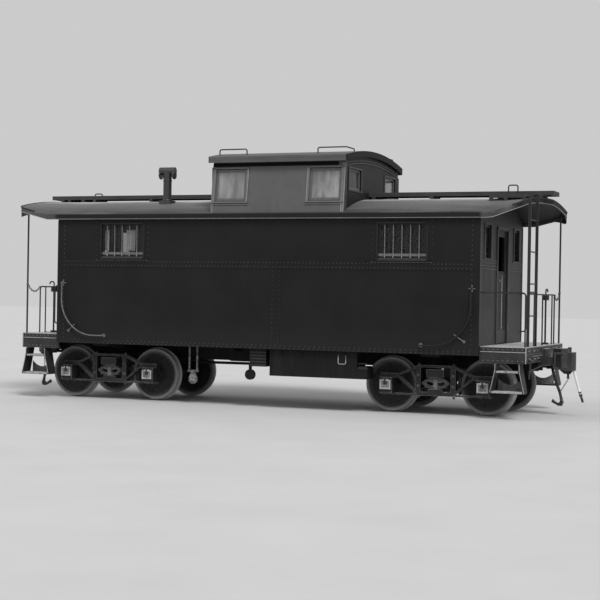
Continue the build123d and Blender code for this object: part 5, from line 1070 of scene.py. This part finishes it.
lids, recesses, pins, nuts, bands, rods = shapes(6)
for side in BOTH:
    normal = (0, side, 0)
    for axle in BOTH:
        x = TRUCK_X + axle * WHEELBASE / 2
        low, high = LID_Z
        opening = (low + LID_RIM, high - LID_RIM)
        for heights in ((opening[1], high - 0.001), (low + 0.001, opening[0])):
            lids.on_side(side, LID_FACE_Y, 0.014, (x - LID_HALF, x + LID_HALF), heights, SLIGHT)
        for edge_x in (-LID_HALF, PANEL_HALF):
            lids.on_side(side, LID_FACE_Y, 0.014, (x + edge_x, x + edge_x + LID_RIM), opening, SLIGHT)
        recesses.on_side(side, LID_FACE_Y, 0.003, (x - PANEL_HALF, x + PANEL_HALF), opening, SLIGHT)
        pins.turned((x, side * (LID_FACE_Y + 0.002), high - 0.048), normal,
                    [(0.032, 0), (0.032, 0.014), (0.024, 0.020), (0.010, 0.022)], 18)
        pins.on_side(side, LID_FACE_Y, 0.020, (x - 0.012, x + 0.012), (high - 0.040, high + 0.010), SLIGHT)
        lids.turned((x - 0.045, side * (LID_FACE_Y - 0.004), high + 0.004), AHEAD, [(0.009, 0), (0.009, 0.09)], 10)
        for offset in (-0.078, 0.078):
            nuts.bolt((x + offset, side * FRAME_Y, 0.632), UP, 0.020, 0.026)
            nuts.bolt((x + offset, side * FRAME_Y, 0.330), DOWN, 0.020, 0.022)
    for column in (TRUCK_X - BOLSTER_BOLT_X, TRUCK_X + BOLSTER_BOLT_X):
        nuts.bolt((column, side * FRAME_Y, 0.826), UP, 0.022, 0.028)
        nuts.bolt((column, side * FRAME_Y, 0.306), DOWN, 0.022, 0.028)
        for z in (0.48, 0.66):
            nuts.bolt((column, side * 1.025, z), normal, 0.018, 0.016)
    bands.box((TRUCK_X - BAND_HALF, TRUCK_X + BAND_HALF), (side * 0.905, side * 1.026), (0.440, 0.590))
    for k in range(4):
        spread = 0.19 - 0.04 * k
        for way in BOTH:
            z = SPRING_Z + way * (0.055 - 0.010 * k)
            for x in ((TRUCK_X - spread, TRUCK_X - BAND_HALF), (TRUCK_X + BAND_HALF, TRUCK_X + spread)):
                bands.box(x, (side * 0.915, side * 1.016), (z - 0.0035, z + 0.0035))
    line = ((-0.30, 0.345), (-0.22, 0.300), (0.22, 0.300), (0.30, 0.345))
    rods.tube([(TRUCK_X + x, side * 0.42, z) for x, z in line], 0.014, 10)
for shape, name, material, settings in (
    (lids, "journal_lids", LID, {"bevel": 0.002}),
    (recesses, "journal_lid_panels", LID_PANEL, {}),
    (pins, "journal_lid_pins", LID_DARK, {"smooth": True}),
    (nuts, "truck_nuts", BRAKE, {}),
    (bands, "spring_bands", PLATE_RIVET, {"bevel": 0.002}),
    (rods, "brake_bottom_rods", EDGE, {"smooth": True}),
):
    shape.pair(name, material, TRUCK_BODIES, slot="truck_iron", **settings)

# --- Under the floor ---

BOX_X = (0.240, 1.835)
BOX_Y = 1.380
BOX_Z = (0.570, 1.028)
HANDLE_Y = -1.392

box_trim, slats, handle = shapes(3)
for z in (BOX_Z[0] + 0.012, BOX_Z[1] - 0.030):
    box_trim.on_side(-1, BOX_Y, 0.006, (BOX_X[0] + 0.004, BOX_X[1] - 0.004), (z - 0.012, z + 0.012), SLIGHT)
for x in (BOX_X[0] + 0.014, sum(BOX_X) / 2, BOX_X[1] - 0.014):
    box_trim.on_side(-1, BOX_Y, 0.006, (x - 0.012, x + 0.012), (BOX_Z[0] + 0.024, BOX_Z[1] - 0.042), SLIGHT)
for x in (0.46, 0.82, 1.25, 1.61):
    box_trim.on_side(-1, BOX_Y, 0.010, (x - 0.018, x + 0.018), (0.90, 1.02), SLIGHT)
    box_trim.turned((x - 0.024, -BOX_Y - 0.010, 0.985), AHEAD, [(0.009, 0), (0.009, 0.048)], 10)
for x in (0.64, 1.43):
    box_trim.on_side(-1, BOX_Y, 0.012, (x - 0.016, x + 0.016), (0.60, 0.68), SLIGHT)
    box_trim.bolt((x, -BOX_Y - 0.012, 0.64), (0, -1, 0), 0.010, 0.012)
box_trim.make("battery_box_trim", BOX_PAINT, slot="underframe_steel", bevel=0.002)
for z in (0.745, 0.800, 0.855, 0.910, 0.965):
    slats.box((-0.132, 0.172), (-1.386, -1.379), (z - 0.015, z + 0.015))
for z in (0.775, 0.83):
    slats.box((1.86, 2.01), (-1.386, -1.365), (z - 0.007, z + 0.007))
slats.box((1.85, 2.02), (-1.392, -1.379), (0.735, 0.765))
slats.make("underfloor_slats", SLAT, slot="underframe_steel", bevel=0.002)
line = ((1.500, 0.965), (1.500, 0.83), (1.515, 0.812), (1.62, 0.812), (1.635, 0.83), (1.635, 0.965))
handle.tube([(x, HANDLE_Y, z) for x, z in line], 0.008, 8)
handle.make("battery_box_handle", EDGE, slot="underframe_steel", smooth=True)

# --- Handholds ---

RAIL_OUT = 0.062
HANDRAIL_STAY = ((3.545, RAIL_OUT, 1.368), (3.60, RAIL_OUT * 0.6, 1.325), (3.690, 0.010, 1.258),
                 (3.715, 0.004, 1.243))
HANDRAIL_BOLTS = ((3.785, 2.114), (3.855, 2.114), (2.950, 1.160), (2.990, 1.160))

feet = Shape()
for side in BOTH:
    normal = (0, side, 0)
    for way in BOTH:
        feet.on_side(side, SIDE_Y, 0.012, (way * 3.765, way * 3.875), (2.104, 2.124), SLIGHT)
        feet.on_side(side, SIDE_Y, 0.008, (way * 3.808, way * 3.832), (2.06, 2.17), 0)
        feet.tube([(way * x, side * (SIDE_Y + out), z) for x, out, z in HANDRAIL_STAY], 0.009, 8)
        feet.turned((way * 3.700, side * SIDE_Y, 1.25), normal, [(0.026, 0), (0.026, 0.006), (0.018, 0.010)], 12)
        feet.turned((way * 2.970, side * SIDE_Y, 1.175), normal, [(0.034, 0), (0.034, 0.006), (0.018, 0.014)], 12)
        for x, z in HANDRAIL_BOLTS:
            feet.bolt((way * x, side * (SIDE_Y + 0.010), z), normal, 0.007, 0.008)
feet.make("handrail_brackets", HANDRAIL_FOOT)

# --- Floor, light and camera ---


def sun(name, way, power, softness):
    """A distant soft lamp that shines from the direction way."""
    data = bpy.data.lights.new(name, "SUN")
    data.energy = power
    data.angle = math.radians(softness)
    placed(name, data).rotation_euler = Vector(way).to_track_quat("Z", "Y").to_euler()


def stage():
    """A pale floor, two lamps, and a gray sky: one level for what sees it, another for the light it gives."""
    g = Graph("floor_gray")
    g.set(g.mix(g.span(g.noise(0.8), 0.3, 0.7), 0.60, 0.64), 0.9)
    data = bpy.data.meshes.new("floor")
    corners = ((-1, -1), (1, -1), (1, 1), (-1, 1))
    data.from_pydata([(x * FLOOR_HALF, y * FLOOR_HALF, 0) for x, y in corners], [], [(0, 1, 2, 3)])
    data.materials.append(g.material)
    placed("floor", data)
    world = bpy.data.worlds.new("studio")
    bpy.context.scene.world = world
    world.use_nodes = True
    n = Nodes(world.node_tree)
    n.tree.nodes.clear()
    rays = n.node("LightPath").outputs
    seen = rays["Is Camera Ray"]
    for ray in ("Is Glossy Ray", "Is Transmission Ray"):
        seen = n.math("MAXIMUM", seen, rays[ray])
    light = n.node("Background", {"Color": 1.0, "Strength": WORLD_LEVEL})
    sky = n.node("Background", {"Color": SKY_LEVEL})
    mix = n.node("MixShader", {0: seen, 1: light.outputs[0], 2: sky.outputs[0]})
    n.node("OutputWorld", {"Surface": mix.outputs[0]})
    sun("key", (0.50, -0.55, 0.80), 1.9, 18)
    sun("fill", (-0.60, -0.50, 0.60), 0.4, 40)


def camera():
    """The photograph's camera."""
    yaw, pitch, roll = CAMERA_YAW, CAMERA_PITCH, CAMERA_ROLL
    ahead = Vector((-math.sin(yaw) * math.cos(pitch), math.cos(yaw) * math.cos(pitch), math.sin(pitch)))
    right = Vector((math.cos(yaw), math.sin(yaw), 0))
    up = right.cross(ahead)
    right, up = (right * math.cos(roll) + up * math.sin(roll), up * math.cos(roll) - right * math.sin(roll))
    turn = Matrix((right, up, -ahead)).transposed()
    data = bpy.data.cameras.new("camera")
    data.sensor_width = SENSOR
    data.lens = SENSOR * FOCAL_PIXELS / PHOTO_PIXELS
    data.clip_end = 300.0
    made = placed("camera", data)
    made.matrix_world = Matrix.Translation(CAMERA_PLACE) @ turn.to_4x4()
    bpy.context.scene.camera = made


stage()
camera()
bpy.context.scene.view_settings.view_transform = "Standard"
